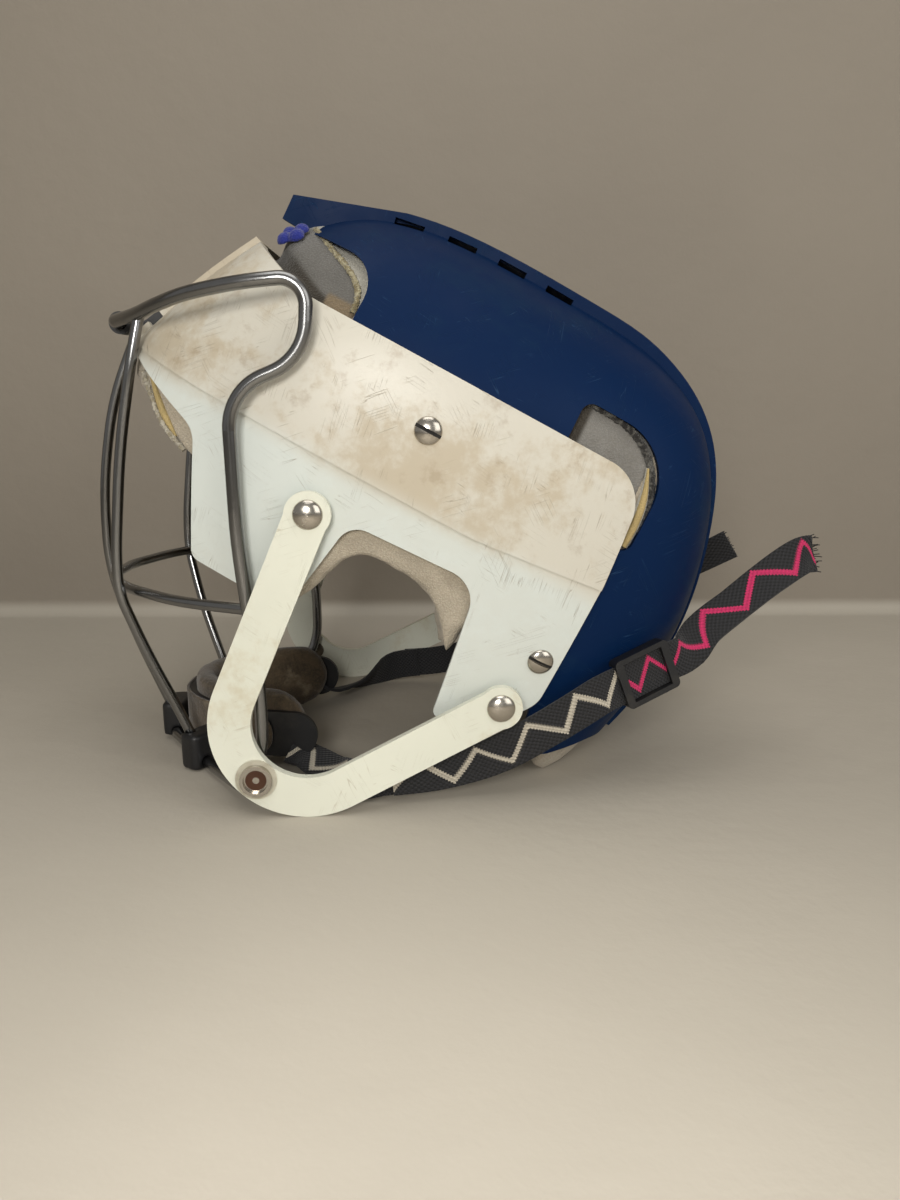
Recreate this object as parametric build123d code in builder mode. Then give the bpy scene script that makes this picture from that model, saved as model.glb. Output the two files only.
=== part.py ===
from build123d import *
import math
import os

os.makedirs("parts", exist_ok=True)

# Hurling helmet: two telescoping shells over a foam liner, a wire face guard
# hung from the forehead, riveted cheek yokes, a chin cup and webbing straps.
# Millimetres, +Z up, resting on a table as it is put down: the face is
# towards -X, the wearer's left side towards -Y, the origin under its middle.

# Head form: its sizes, and how it leans back when the helmet rests
head_length = 250.0
head_width = 163.2
head_height = 200.0
rest_tilt = 28.0
head_set_back = -51.0
head_lift = 23.8

# Shell walls and the room between the two shells, which slide for size
shell_wall = 3.0
front_wall = 2.6
slide_gap = 1.5
panel_step = 0.8
ridge_rise = 1.6
ridge_width = 56.0
size_travel = 5.0

# Liner
foam_thickness = 11.0
foam_gap = 0.3
cloth_thickness = 1.4
tuft_radius = 3.4
tuft_lobe_gap = 5.4

# Face guard
frame_wire = 5.2
bar_wire = 4.4
clip_width = 8.0
clip_wall = 1.7
clip_gap = 0.35
tab_thickness = 2.0

# Cheek yokes and their fasteners
yoke_width = 16.6
yoke_thickness = 3.4
yoke_bend = 30.0
yoke_end_radius = 8.8
rivet_radius = 5.7
rivet_height = 2.4
shank_radius = 2.2
burr_radius = 5.5
burr_thickness = 1.0
snap_radius = 6.35
snap_height = 2.2
snap_rim_share = 0.78
snap_stud_share = 0.7
snap_washer_radius = 8.2
snap_washer_thickness = 0.6

# Size screws
screw_radius = 2.5
screw_head_radius = 5.3
screw_head_height = 2.2
driver_slot = 1.3
nut_barrel_radius = 3.2
nut_radius = 6.5
nut_flange = 1.3
nut_gap = 1.3
fit = 0.2
slot_gap = 1.0
nut_pocket_gap = 1.6

# Chin cup
chin_tilt = 28.0
cup_length = 66.5
cup_half_width = 44.0
cup_wall = 2.5
cup_height = 21.0
cover_wall = 1.8
cover_gap = 0.1
pad_thickness = 10.0
pad_height = 33.0
sleeve_length = 20.0
sleeve_wall = 3.0
sleeve_half_height = 8.2

# Webbing and its adjusters
webbing_width = 16.0
webbing_thickness = 1.6
glide_length = 25.0
glide_rail = 2.2
glide_bar = 3.4
glide_thickness = 1.8
glide_gap = 0.4
anchor_radius = 4.5

# Frames of the model: the head's own upright frame and its side view
tilt = math.radians(rest_tilt)
HEAD = Plane(
    origin=(head_set_back, 0, head_lift),
    x_dir=(math.cos(tilt), 0, -math.sin(tilt)),
    z_dir=(math.sin(tilt), 0, math.cos(tilt)),
)
SIDE = Plane(origin=HEAD.origin, x_dir=HEAD.x_dir, z_dir=(0, -1, 0))


def side_point(x_share, z_share):
    """A point of the side view, as shares of the head's length and height."""
    return (x_share * head_length, z_share * head_height)


def at(x_share, y_share, z_share):
    """A point in space, as shares of the head's length, half width and height."""
    x, z = side_point(x_share, z_share)
    return HEAD.from_local_coords(Vector(x, y_share * head_width / 2, z))


def outline(corners):
    """A side outline: corners as shares, each with its own radius share."""
    points = [side_point(corner[0], corner[1]) for corner in corners]
    radii = [corner[2] * head_height for corner in corners]
    with BuildSketch(SIDE) as side_outline:
        with BuildLine():
            FilletPolyline(*points, radius=radii, close=True)
        make_face()
    return side_outline.sketch


def save(part, name):
    """Label a finished piece and write it to its own file."""
    part.label = name
    export_step(part, "parts/" + name + ".step")


# Levels of the head form: height, reach to the front and rear, half width
level_height_shares = [0.05, 0.25, 0.45, 0.6, 0.725, 0.825, 0.91, 0.975, 1.015, 1.035, 1.0425]
level_front_shares = [0.632, 0.62, 0.596, 0.548, 0.5, 0.452, 0.404, 0.344, 0.268, 0.176, 0.08]
level_rear_shares = [0.408, 0.46, 0.482, 0.472, 0.444, 0.41, 0.364, 0.302, 0.232, 0.168, 0.072]
level_width_shares = [0.435, 0.469, 0.493, 0.5, 0.493, 0.463, 0.402, 0.31, 0.215, 0.129, 0.05]
nose_share = 0.7
cheek_share = 0.88
nape_share = 0.75
rear_cheek_share = 0.9
brow_share = 0.65


def level_sizes(index, grow):
    """Height, front reach, rear reach and half width of one level, grown outwards."""
    height = level_height_shares[index] * head_height
    brow = brow_share * head_height
    crown = level_height_shares[-1] * head_height
    lift = max(0, (height - brow) / (crown - brow)) * grow
    front = level_front_shares[index] * head_length + grow
    rear = level_rear_shares[index] * head_length + grow
    half = level_width_shares[index] * head_width + grow
    return height + lift, front, rear, half


def head_form(grow):
    """The egg-shaped head form, grown outwards."""
    with BuildPart() as form:
        for index in range(len(level_height_shares)):
            height, front, rear, half = level_sizes(index, grow)
            with BuildSketch(HEAD.offset(height)):
                with BuildLine():
                    for side in (1, -1):
                        Bezier(
                            (-front, 0),
                            (-front, side * nose_share * half),
                            (-cheek_share * front, side * half),
                            (0, side * half),
                        )
                        Bezier(
                            (rear, 0),
                            (rear, side * nape_share * half),
                            (rear_cheek_share * rear, side * half),
                            (0, side * half),
                        )
                make_face()
        loft()
    return form.part


def middle_line(grow, first_front, first_rear):
    """Points of the head form's middle line, over the crown from front to rear."""
    count = len(level_height_shares)
    fronts = [level_sizes(index, grow) for index in range(first_front, count)]
    rears = [level_sizes(index, grow) for index in range(first_rear, count)]
    front_points = [(-sizes[1], sizes[0]) for sizes in fronts]
    rear_points = [(sizes[2], sizes[0]) for sizes in reversed(rears)]
    return front_points + rear_points


def ridge(grow, width):
    """The raised middle band over the whole head form, filled down to its base."""
    with BuildPart() as band:
        with BuildSketch(SIDE):
            with BuildLine():
                over = Spline(*middle_line(grow, 1, 1))
                Line(over @ 1, over @ 0)
            make_face()
        extrude(amount=width / 2, both=True)
    return band.part


hood_first_level = 8
hood_tip_shares = (-0.45, 0.9375)


def hooded_ridge(grow, width):
    """The rear band, whose front end runs out straight as a hood."""
    points = middle_line(grow, hood_first_level, 1)
    tip_x, tip_z = side_point(*hood_tip_shares)
    with BuildPart() as band:
        with BuildSketch(SIDE):
            with BuildLine():
                over = Spline(*points)
                top = Line((tip_x, tip_z + grow), over @ 0)
                down = Line(top @ 0, (tip_x, points[-1][1]))
                Line(down @ 1, over @ 1)
            make_face()
        extrude(amount=width / 2, both=True)
    return band.part


# Head forms at the depths where shells and liner begin and end
front_grow = slide_gap + front_wall
foam_outer = -shell_wall - foam_gap
foam_inner = foam_outer - foam_thickness
front_outer_form = head_form(front_grow)
front_inner_form = head_form(slide_gap)
panel_form = head_form(front_grow + panel_step)
rear_outer_form = head_form(0)
rear_inner_form = head_form(-shell_wall)
front_foam_form = head_form(slide_gap - foam_gap)
rear_foam_form = head_form(foam_outer)
foam_hollow_form = head_form(foam_inner)

# Side outlines, as shares of the head's length and height
front_shell_corners = [
    (-0.72, 0.865, 0), (-0.72, 0.537, 0), (-0.576, 0.537, 0.1), (-0.398, 0.462, 0.06),
    (-0.32, 0.237, 0.025), (-0.154, 0.23, 0.012), (-0.124, 0.447, 0.045),
    (0.092, 0.457, 0.065), (0.132, 0.17, 0.015), (0.212, 0.16, 0.05),
    (0.276, 0.29, 0.06), (0.268, 0.56, 0.2), (0.246, 0.78, 0.09),
    (-0.34, 0.78, 0.2), (-0.54, 0.865, 0),
]
raised_panel_corners = [
    (-0.72, 0.9, 0), (-0.72, 0.545, 0), (-0.42, 0.535, 0.1), (0.05, 0.53, 0.1),
    (0.4, 0.57, 0), (0.4, 0.9, 0),
]
rear_shell_corners = [
    (-0.55, 0.9, 0), (-0.43, 0.893, 0.05), (-0.258, 0.892, 0.07), (-0.258, 0.725, 0.02),
    (-0.146, 0.715, 0.02), (-0.142, 0.6, 0.03), (0.142, 0.56, 0.03), (0.162, 0.31, 0.02),
    (0.266, 0.3, 0.01), (0.29, 0.195, 0.02), (0.34, 0.17, 0.03), (0.42, 0.25, 0.1),
    (0.62, 0.27, 0), (0.62, 1.15, 0), (-0.55, 1.15, 0),
]
crescent_corners = [
    (0.108, 0.64, 0.02), (0.28, 0.64, 0.02), (0.28, 0.86, 0.12), (0.108, 0.86, 0.025),
]

# Fastener places in the side view, and where the yoke's inner face stands out
upper_screw_shares = (-0.084, 0.67)
lower_screw_shares = (0.242, 0.3725)
upper_rivet_shares = (-0.186, 0.429)
rear_rivet_shares = (0.218, 0.259)
snap_shares = (-0.073, -0.089)
yoke_corner_shares = (-0.133, -0.3745)
yoke_stand_shares = (1.054, 1.02, 1.082)
anchor_shares = (0.331, 0.31)
anchor_stand_share = 0.98

# Forehead clips: the top wire's place, and the tab from its foot to its head
clip_place_share = 0.26
hinge_shares = (-0.623, 0.549)
tab_foot_shares = (-0.592, 0.535)
tab_head_shares = (-0.552, 0.645)
tab_screw_shares = (-0.572, 0.615)
tab_lean = 26.6
tab_screw_radius = 3.2
tab_screw_height = 1.2
tab_shank_radius = 1.6
tab_screw_length = 4.6


def seat(form, place_shares, side):
    """The plane square to a form's outer face at a place of the side view."""
    start = at(place_shares[0], 0, place_shares[1])
    hits = form.shell().find_intersection_points(Axis(start, (0, side, 0)))
    point, normal = max(hits, key=lambda hit: side * hit[0].Y)
    along = HEAD.x_dir - normal * HEAD.x_dir.dot(normal)
    return Plane(origin=point, x_dir=along.normalized(), z_dir=normal)


def yoke_plane(side):
    """The plane of a yoke's inner face, facing outwards."""
    places = (upper_rivet_shares, rear_rivet_shares, snap_shares)
    upper, rear, low = [
        at(place[0], side * stand, place[1]) for place, stand in zip(places, yoke_stand_shares)
    ]
    along = (rear - upper).normalized()
    outward = along.cross(low - upper).normalized()
    if outward.Y * side < 0:
        outward = outward * -1
    return Plane(origin=upper, x_dir=along, z_dir=outward)


def yoke_spot(place_shares, side):
    """The plane on a yoke's inner face at a place of the side view."""
    face = yoke_plane(side)
    start = at(place_shares[0], 0, place_shares[1])
    reach = (face.origin - start).dot(face.z_dir) / (Vector(0, side, 0).dot(face.z_dir))
    return Plane(
        origin=start + Vector(0, side * reach, 0), x_dir=face.x_dir, z_dir=face.z_dir
    )


rivet_places = (upper_rivet_shares, rear_rivet_shares)
sides = (("left", -1), ("right", 1))
rivet_spots = [yoke_spot(place, side) for place in rivet_places for name, side in sides]
snap_spots = [yoke_spot(snap_shares, side) for name, side in sides]
rivet_reach = 2 * yoke_end_radius
lean = math.radians(tab_lean)
clip_seats = [
    Plane(
        origin=at(tab_screw_shares[0], side * clip_place_share, tab_screw_shares[1]),
        x_dir=(0, 1, 0),
        z_dir=HEAD.z_dir * math.sin(lean) - HEAD.x_dir * math.cos(lean),
    )
    for name, side in sides
]


def button(radius, height):
    """A domed head on the XY plane, flat below."""
    with BuildPart() as head:
        with BuildSketch(Plane.XZ):
            with BuildLine():
                base = Line((0, 0), (radius, 0))
                dome = Bezier(
                    base @ 1, (radius, height / 2), (radius / 2, height), (0, height)
                )
                Line(dome @ 1, base @ 0)
            make_face()
        revolve(axis=Axis.Z)
    return head.part


def run_cut(screw_seats, radius):
    """The room in which round parts square to their seats run along the head."""
    with BuildPart() as room:
        for screw_seat in screw_seats:
            with BuildSketch(screw_seat):
                SlotCenterToCenter(2 * size_travel, 2 * radius)
            extrude(amount=-rivet_reach)
    return room.part


def band_slot(x_share, z_share, length, height, turn, width):
    """A slot through both side walls of a raised band, at a place of the side view."""
    with BuildPart() as slot:
        for side in (-1, 1):
            with BuildSketch(SIDE.offset(-side * (width / 2 - slot_depth))):
                with Locations(Location(side_point(x_share, z_share) + (0,), turn)):
                    Rectangle(length, height)
            extrude(amount=-side * 2 * slot_depth)
    return slot.part


# Slots in the side walls of the middle bands: place, length, height and turn
slot_depth = 4.0
slot_length = 12.5
slot_height = 3.2
front_slot_length = 6.5
front_slot_height = 4.0
rear_slots = (
    (-0.262, 1.003, slot_length, slot_height, 10),
    (-0.171, 1.02, slot_length, slot_height, 5),
    (-0.081, 1.028, slot_length, slot_height, 1),
    (0.009, 1.028, slot_length, slot_height, -1),
)
front_slots = (
    (-0.567, 0.592, front_slot_length, front_slot_height, 65),
    (-0.516, 0.69, front_slot_length, front_slot_height, 60),
)

# Seats of the size screws on the front shell, and the bores of the straps' anchors
upper_seats = [seat(panel_form, upper_screw_shares, side) for side in (-1, 1)]
lower_seats = [seat(front_outer_form, lower_screw_shares, side) for side in (-1, 1)]
with BuildPart() as anchor_shanks:
    with BuildSketch(SIDE):
        with Locations(side_point(*anchor_shares)):
            Circle(shank_radius)
    extrude(amount=anchor_stand_share * head_width / 2, both=True)

# Rear shell, with its hood, the slots in its middle band and the two windows
with BuildPart() as rear_shell:
    add(rear_outer_form)
    add(hooded_ridge(ridge_rise, ridge_width))
    add(rear_inner_form, mode=Mode.SUBTRACT)
    add(
        hooded_ridge(ridge_rise - shell_wall, ridge_width - 2 * shell_wall),
        mode=Mode.SUBTRACT,
    )
    extrude(outline(rear_shell_corners), amount=head_width, both=True, mode=Mode.INTERSECT)
    extrude(outline(crescent_corners), amount=head_width, both=True, mode=Mode.SUBTRACT)
    add(run_cut(upper_seats + lower_seats, nut_barrel_radius + slot_gap), mode=Mode.SUBTRACT)
    add(anchor_shanks.part, mode=Mode.SUBTRACT)
    for x_share, z_share, length, height, turn in rear_slots:
        add(band_slot(x_share, z_share, length, height, turn, ridge_width), mode=Mode.SUBTRACT)
save(rear_shell.part, "rear_shell")

# Front shell, with its raised upper panel, forehead band and screw holes
front_ridge_width = ridge_width + 2 * panel_step

with BuildPart() as front_shell:
    add(panel_form)
    extrude(outline(raised_panel_corners), amount=head_width, both=True, mode=Mode.INTERSECT)
    add(front_outer_form)
    add(ridge(front_grow + ridge_rise, front_ridge_width))
    add(front_inner_form, mode=Mode.SUBTRACT)
    add(
        ridge(slide_gap + ridge_rise, front_ridge_width - 2 * front_wall),
        mode=Mode.SUBTRACT,
    )
    extrude(outline(front_shell_corners), amount=head_width, both=True, mode=Mode.INTERSECT)
    for screw_seat in upper_seats + lower_seats:
        with BuildSketch(screw_seat):
            Circle(screw_radius + fit)
        extrude(amount=2 * front_wall, both=True, mode=Mode.SUBTRACT)
    for spot in rivet_spots:
        with BuildSketch(spot):
            Circle(shank_radius)
        extrude(amount=-rivet_reach, mode=Mode.SUBTRACT)
    for clip_seat in clip_seats:
        with BuildSketch(clip_seat):
            Circle(tab_shank_radius + fit)
        extrude(amount=-2 * tab_screw_length, mode=Mode.SUBTRACT)
    for x_share, z_share, length, height, turn in front_slots:
        add(band_slot(x_share, z_share, length, height, turn, front_ridge_width), mode=Mode.SUBTRACT)
save(front_shell.part, "front_shell")

# Size screws and their barrel nuts, which clamp the rear shell's slots
barrel_top = -front_wall - fit
flange_top = -front_wall - slide_gap - shell_wall - nut_gap

with BuildPart() as size_screw:
    add(button(screw_head_radius, screw_head_height))
    with BuildSketch(Plane.XY.offset(screw_head_height)):
        Rectangle(2 * screw_head_radius, driver_slot)
    extrude(amount=-driver_slot, mode=Mode.SUBTRACT)
    with BuildSketch(Plane.XY):
        Circle(screw_radius)
    extrude(amount=flange_top)

with BuildPart() as barrel_nut:
    with BuildSketch(Plane.XY.offset(flange_top)):
        Circle(nut_barrel_radius)
    extrude(amount=barrel_top - flange_top)
    with BuildSketch(Plane.XY.offset(flange_top)):
        Circle(nut_radius)
    extrude(amount=-nut_flange)
    with BuildSketch(Plane.XY):
        Circle(screw_radius)
    extrude(amount=flange_top, mode=Mode.SUBTRACT)

screw_sets = (
    ("upper", upper_seats, panel_step),
    ("lower", lower_seats, 0),
)
for set_name, screw_seats, step in screw_sets:
    with BuildPart() as screws:
        with Locations(*screw_seats):
            add(size_screw.part)
    save(screws.part, set_name + "_screws")
    with BuildPart() as nuts:
        with Locations(*[screw_seat.offset(-step) for screw_seat in screw_seats]):
            add(barrel_nut.part)
        add(screws.part, mode=Mode.SUBTRACT)
    save(nuts.part, set_name + "_nuts")


# Cheek yokes: a flat bent strip that stands off the shell on each side
for side_name, side in sides:
    with BuildPart() as yoke:
        with BuildSketch(SIDE):
            with BuildLine() as middle:
                FilletPolyline(
                    side_point(*upper_rivet_shares),
                    side_point(*yoke_corner_shares),
                    side_point(*rear_rivet_shares),
                    radius=yoke_bend,
                )
            trace(line_width=yoke_width)
            with Locations(*[side_point(*place) for place in rivet_places]):
                Circle(yoke_end_radius)
        extrude(amount=-side * head_width)
        with BuildSketch(yoke_plane(side)):
            Rectangle(2 * head_length, 2 * head_length)
        extrude(amount=yoke_thickness, mode=Mode.INTERSECT)
        for place in rivet_places + (snap_shares,):
            with BuildSketch(yoke_spot(place, side)):
                Circle(shank_radius)
            extrude(amount=yoke_thickness, mode=Mode.SUBTRACT)
    save(yoke.part, "yoke_" + side_name)

with BuildPart() as rivet_cores:
    for spot in rivet_spots:
        with BuildSketch(spot):
            Circle(burr_radius)
        extrude(amount=-rivet_reach)

with BuildPart() as yoke_spacers:
    add(rivet_cores.part)
    add(front_outer_form, mode=Mode.SUBTRACT)
    for spot in rivet_spots:
        with BuildSketch(spot):
            Circle(shank_radius)
        extrude(amount=-rivet_reach, mode=Mode.SUBTRACT)
save(yoke_spacers.part, "yoke_spacers")

with BuildPart() as yoke_rivets:
    with Locations(*[spot.offset(yoke_thickness) for spot in rivet_spots]):
        add(button(rivet_radius, rivet_height))
    for spot in rivet_spots:
        with BuildSketch(spot.offset(yoke_thickness)):
            Circle(shank_radius)
        extrude(amount=-rivet_reach)
    add(head_form(slide_gap - 2 * burr_thickness), mode=Mode.SUBTRACT)
save(yoke_rivets.part, "yoke_rivets")

with BuildPart() as rivet_burrs:
    add(rivet_cores.part)
    add(front_inner_form, mode=Mode.INTERSECT)
    add(head_form(slide_gap - burr_thickness), mode=Mode.SUBTRACT)
    add(yoke_rivets.part, mode=Mode.SUBTRACT)
save(rivet_burrs.part, "rivet_burrs")

# Snap fasteners at the foot of each yoke
with BuildPart() as snap_cap:
    with BuildSketch(Plane.XY):
        Circle(snap_radius)
        Circle(snap_radius * snap_rim_share, mode=Mode.SUBTRACT)
    extrude(amount=snap_height)
    with BuildSketch(Plane.XY):
        Circle(snap_radius * snap_rim_share)
    extrude(amount=snap_height / 3)
    with BuildSketch(Plane.XY):
        Circle(shank_radius)
    extrude(amount=-yoke_thickness - snap_washer_thickness)

with BuildPart() as snap_washer:
    with BuildSketch(Plane.XY):
        Circle(snap_washer_radius)
        Circle(shank_radius, mode=Mode.SUBTRACT)
    extrude(amount=snap_washer_thickness)

with BuildPart() as snap_stud:
    with BuildSketch(Plane.XY):
        Circle(snap_radius * snap_stud_share)
    extrude(amount=-snap_washer_thickness)

snap_pieces = (
    ("snap_caps", snap_cap.part, yoke_thickness + snap_washer_thickness),
    ("snap_washers", snap_washer.part, yoke_thickness),
    ("snap_studs", snap_stud.part, 0),
)
for piece_name, piece, height in snap_pieces:
    with BuildPart() as snap:
        with Locations(*[spot.offset(height) for spot in snap_spots]):
            add(piece)
    save(snap.part, piece_name)

# Face guard: wires bent along straight runs, and how far a bend may spread
bend_share = 0.45


def bends(points, largest):
    """Bend radii that fit between a path's runs, none over the largest."""
    radii = []
    for before, corner, after in zip(points, points[1:], points[2:]):
        turn = math.radians((corner - before).get_angle(after - corner))
        shorter = min((corner - before).length, (after - corner).length)
        radii.append(min(largest, bend_share * shorter / math.tan(turn / 2)))
    return radii


def wire(points, diameter, largest):
    """A round wire along a path of straight runs and arcs."""
    with BuildPart() as rod:
        with BuildLine() as path:
            FilletPolyline(*points, radius=bends(points, largest))
        with BuildSketch(Plane(origin=points[0], z_dir=points[1] - points[0])):
            Circle(diameter / 2)
        sweep(path=path.wires()[0])
    return rod.part


frame_largest_bend = 400.0
frame_wire_places = [
    (-0.623, 0.0, 0.549), (-0.623, -0.404, 0.549), (-0.601, -0.515, 0.566),
    (-0.57, -0.662, 0.59), (-0.529, -0.846, 0.632), (-0.485, -0.993, 0.678),
    (-0.414, -1.066, 0.745),
    (-0.336, -1.066, 0.808), (-0.289, -1.066, 0.681), (-0.368, -1.066, 0.561),
    (-0.26, -1.066, 0.315), (-0.199, -1.033, 0.197), (-0.125, -1.033, 0.054),
    (-0.083, -1.029, -0.048), (-0.08, -0.98, -0.148), (-0.157, -0.551, -0.222),
    (-0.246, -0.123, -0.273), (-0.246, 0.0, -0.273),
]
centre_bar_places = [
    (-0.623, 0.0, 0.549), (-0.614, 0.0, 0.373), (-0.568, 0.0, 0.184),
    (-0.496, 0.0, 0.006), (-0.39, 0.0, -0.122), (-0.246, 0.0, -0.273),
]
side_bar_places = [
    (-0.565, -0.66, 0.6), (-0.545, -0.686, 0.51), (-0.508, -0.662, 0.338),
    (-0.448, -0.662, 0.145), (-0.416, -0.662, 0.064), (-0.338, -0.576, -0.042),
    (-0.25, -0.502, -0.142), (-0.173, -0.466, -0.232),
]
cross_bar_places = [
    (-0.206, -1.033, 0.204), (-0.312, -0.87, 0.133), (-0.425, -0.515, 0.058),
    (-0.472, -0.16, 0.022), (-0.472, 0.0, 0.022),
]

half_frame = wire([at(*place) for place in frame_wire_places], frame_wire, frame_largest_bend)
with BuildPart() as cage_frame_wire:
    add(half_frame)
    mirror(about=Plane.XZ)
save(cage_frame_wire.part, "cage_frame_wire")

with BuildPart() as cage_centre_bar:
    add(wire([at(*place) for place in centre_bar_places], bar_wire, frame_largest_bend))
    add(cage_frame_wire.part, mode=Mode.SUBTRACT)
save(cage_centre_bar.part, "cage_centre_bar")

for side_name, side in sides:
    places = [at(x, -side * y, z) for x, y, z in side_bar_places]
    with BuildPart() as side_bar:
        add(wire(places, bar_wire, frame_largest_bend))
        add(cage_frame_wire.part, mode=Mode.SUBTRACT)
    save(side_bar.part, "cage_" + side_name + "_bar")
    if side_name == "left":
        left_bar = side_bar.part

half_cross = wire([at(*place) for place in cross_bar_places], bar_wire, frame_largest_bend)
with BuildPart() as cage_cross_bar:
    add(half_cross)
    mirror(about=Plane.XZ)
    add(cage_frame_wire.part, mode=Mode.SUBTRACT)
    add(cage_centre_bar.part, mode=Mode.SUBTRACT)
    add(left_bar, mode=Mode.SUBTRACT)
    add(mirror(left_bar, about=Plane.XZ), mode=Mode.SUBTRACT)
save(cage_cross_bar.part, "cage_cross_bar")

# Screws of the forehead clips, each with a driver slot
with BuildPart() as clip_screw:
    add(button(tab_screw_radius, tab_screw_height))
    with BuildSketch(Plane.XY.offset(tab_screw_height)):
        Rectangle(2 * tab_screw_radius, driver_slot / 2)
    extrude(amount=-driver_slot / 2, mode=Mode.SUBTRACT)
    with BuildSketch(Plane.XY):
        Circle(tab_shank_radius)
    extrude(amount=-tab_screw_length)

with BuildPart() as clip_screws:
    with Locations(*clip_seats):
        add(clip_screw.part)
save(clip_screws.part, "clip_screws")

# Forehead clips: a ring round the top wire and a tab screwed to the band
for side_name, side in sides:
    inner_edge = side * (clip_place_share * head_width / 2 - clip_width / 2)
    clip_plane = SIDE.offset(-inner_edge)
    with BuildPart() as clip:
        with BuildSketch(clip_plane):
            with Locations(side_point(*hinge_shares)):
                Circle(frame_wire / 2 + clip_gap + clip_wall)
            with BuildLine():
                foot = side_point(*tab_foot_shares)
                top = side_point(*tab_head_shares)
                FilletPolyline(
                    side_point(*hinge_shares),
                    (foot[0] - tab_thickness, foot[1] + tab_thickness),
                    (top[0] - tab_thickness, top[1]),
                    (top[0] + 2 * tab_thickness, top[1]),
                    (foot[0] + 2 * tab_thickness, foot[1] - tab_thickness),
                    radius=tab_thickness / 4,
                    close=True,
                )
            make_face()
        extrude(amount=-side * clip_width)
        with BuildSketch(clip_plane):
            with Locations(side_point(*hinge_shares)):
                Circle(frame_wire / 2 + clip_gap)
        extrude(amount=-side * clip_width, mode=Mode.SUBTRACT)
        add(front_shell.part, mode=Mode.SUBTRACT)
        add(clip_screws.part, mode=Mode.SUBTRACT)
    save(clip.part.solids().sort_by(SortBy.VOLUME)[-1], "cage_clip_" + side_name)

# Chin cup, level when the helmet rests, and the sleeves that hold it to the bars
chin = math.radians(chin_tilt)
cup_origin_shares = (-0.008, 0.0, -0.05)
CUP = Plane(
    origin=at(*cup_origin_shares),
    x_dir=HEAD.x_dir * math.cos(chin) + HEAD.z_dir * math.sin(chin),
    z_dir=HEAD.z_dir * math.cos(chin) - HEAD.x_dir * math.sin(chin),
)
CUP_SIDE = Plane(origin=CUP.origin, x_dir=CUP.x_dir, z_dir=(0, -1, 0))
wing_shares = (0.0, 0.02)
cover_end_share = -0.3


def cup_band(outer, inner, height, rear, lift):
    """A U-shaped band of the cup between two offsets, with rounded rear ends."""
    with BuildPart() as band:
        with BuildSketch(CUP.offset(lift - height / 2)):
            Ellipse(cup_length + outer, cup_half_width + outer)
            Ellipse(cup_length + inner, cup_half_width + inner, mode=Mode.SUBTRACT)
        extrude(amount=height)
        with BuildSketch(CUP_SIDE):
            with BuildLine():
                Polyline(
                    (rear - height / 2, lift + height / 2),
                    (-2 * cup_length, lift + height / 2),
                    (-2 * cup_length, lift - height / 2),
                    (rear - height / 2, lift - height / 2),
                )
                ThreePointArc(
                    (rear - height / 2, lift - height / 2),
                    (rear, lift),
                    (rear - height / 2, lift + height / 2),
                )
            make_face()
        extrude(amount=2 * cup_half_width, both=True, mode=Mode.INTERSECT)
    return band.part


shell_band = cup_band(0, -cup_wall, cup_height, 0, 0)
pad_band = cup_band(
    -cup_wall - cover_gap, -cup_wall - pad_thickness, pad_height, -2 * cup_wall, cup_wall
)
cover_band = cup_band(
    cover_wall, cover_gap, cup_height + cover_wall, cover_end_share * cup_length, 0
)
for band_part, band_name in (
    (shell_band, "chin_cup_shell"),
    (pad_band, "chin_cup_pad"),
    (cover_band, "chin_cup_cover"),
):
    save(band_part, band_name)

sleeve_places = (
    (-0.261, 0.0, -0.249, 0), (-0.179, -0.466, -0.204, -37), (-0.179, 0.466, -0.204, 37),
)
with BuildPart() as chin_cup_sleeves:
    for x, y, z, turn in sleeve_places:
        sleeve_plane = Plane(origin=at(x, y, z), x_dir=CUP.x_dir, z_dir=CUP.z_dir)
        with BuildSketch(sleeve_plane.rotated((0, 0, turn))):
            RectangleRounded(frame_wire + 2 * sleeve_wall, sleeve_length, sleeve_wall)
        extrude(amount=sleeve_half_height, both=True)
    add(cup_band(cover_wall, -cup_length / 2, cup_height * 2, 0, 0), mode=Mode.SUBTRACT)
    add(cage_frame_wire.part, mode=Mode.SUBTRACT)
    add(cage_centre_bar.part, mode=Mode.SUBTRACT)
    add(left_bar, mode=Mode.SUBTRACT)
    add(mirror(left_bar, about=Plane.XZ), mode=Mode.SUBTRACT)
save(chin_cup_sleeves.part, "chin_cup_sleeves")


# Liner: foam pads that follow the head form between two depths
def pad(outer_form, corners):
    """A foam pad between an outer form and the hollow, within a side outline."""
    with BuildPart() as foam:
        add(outer_form)
        add(foam_hollow_form, mode=Mode.SUBTRACT)
        extrude(outline(corners), amount=head_width, both=True, mode=Mode.INTERSECT)
    return foam.part


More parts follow.
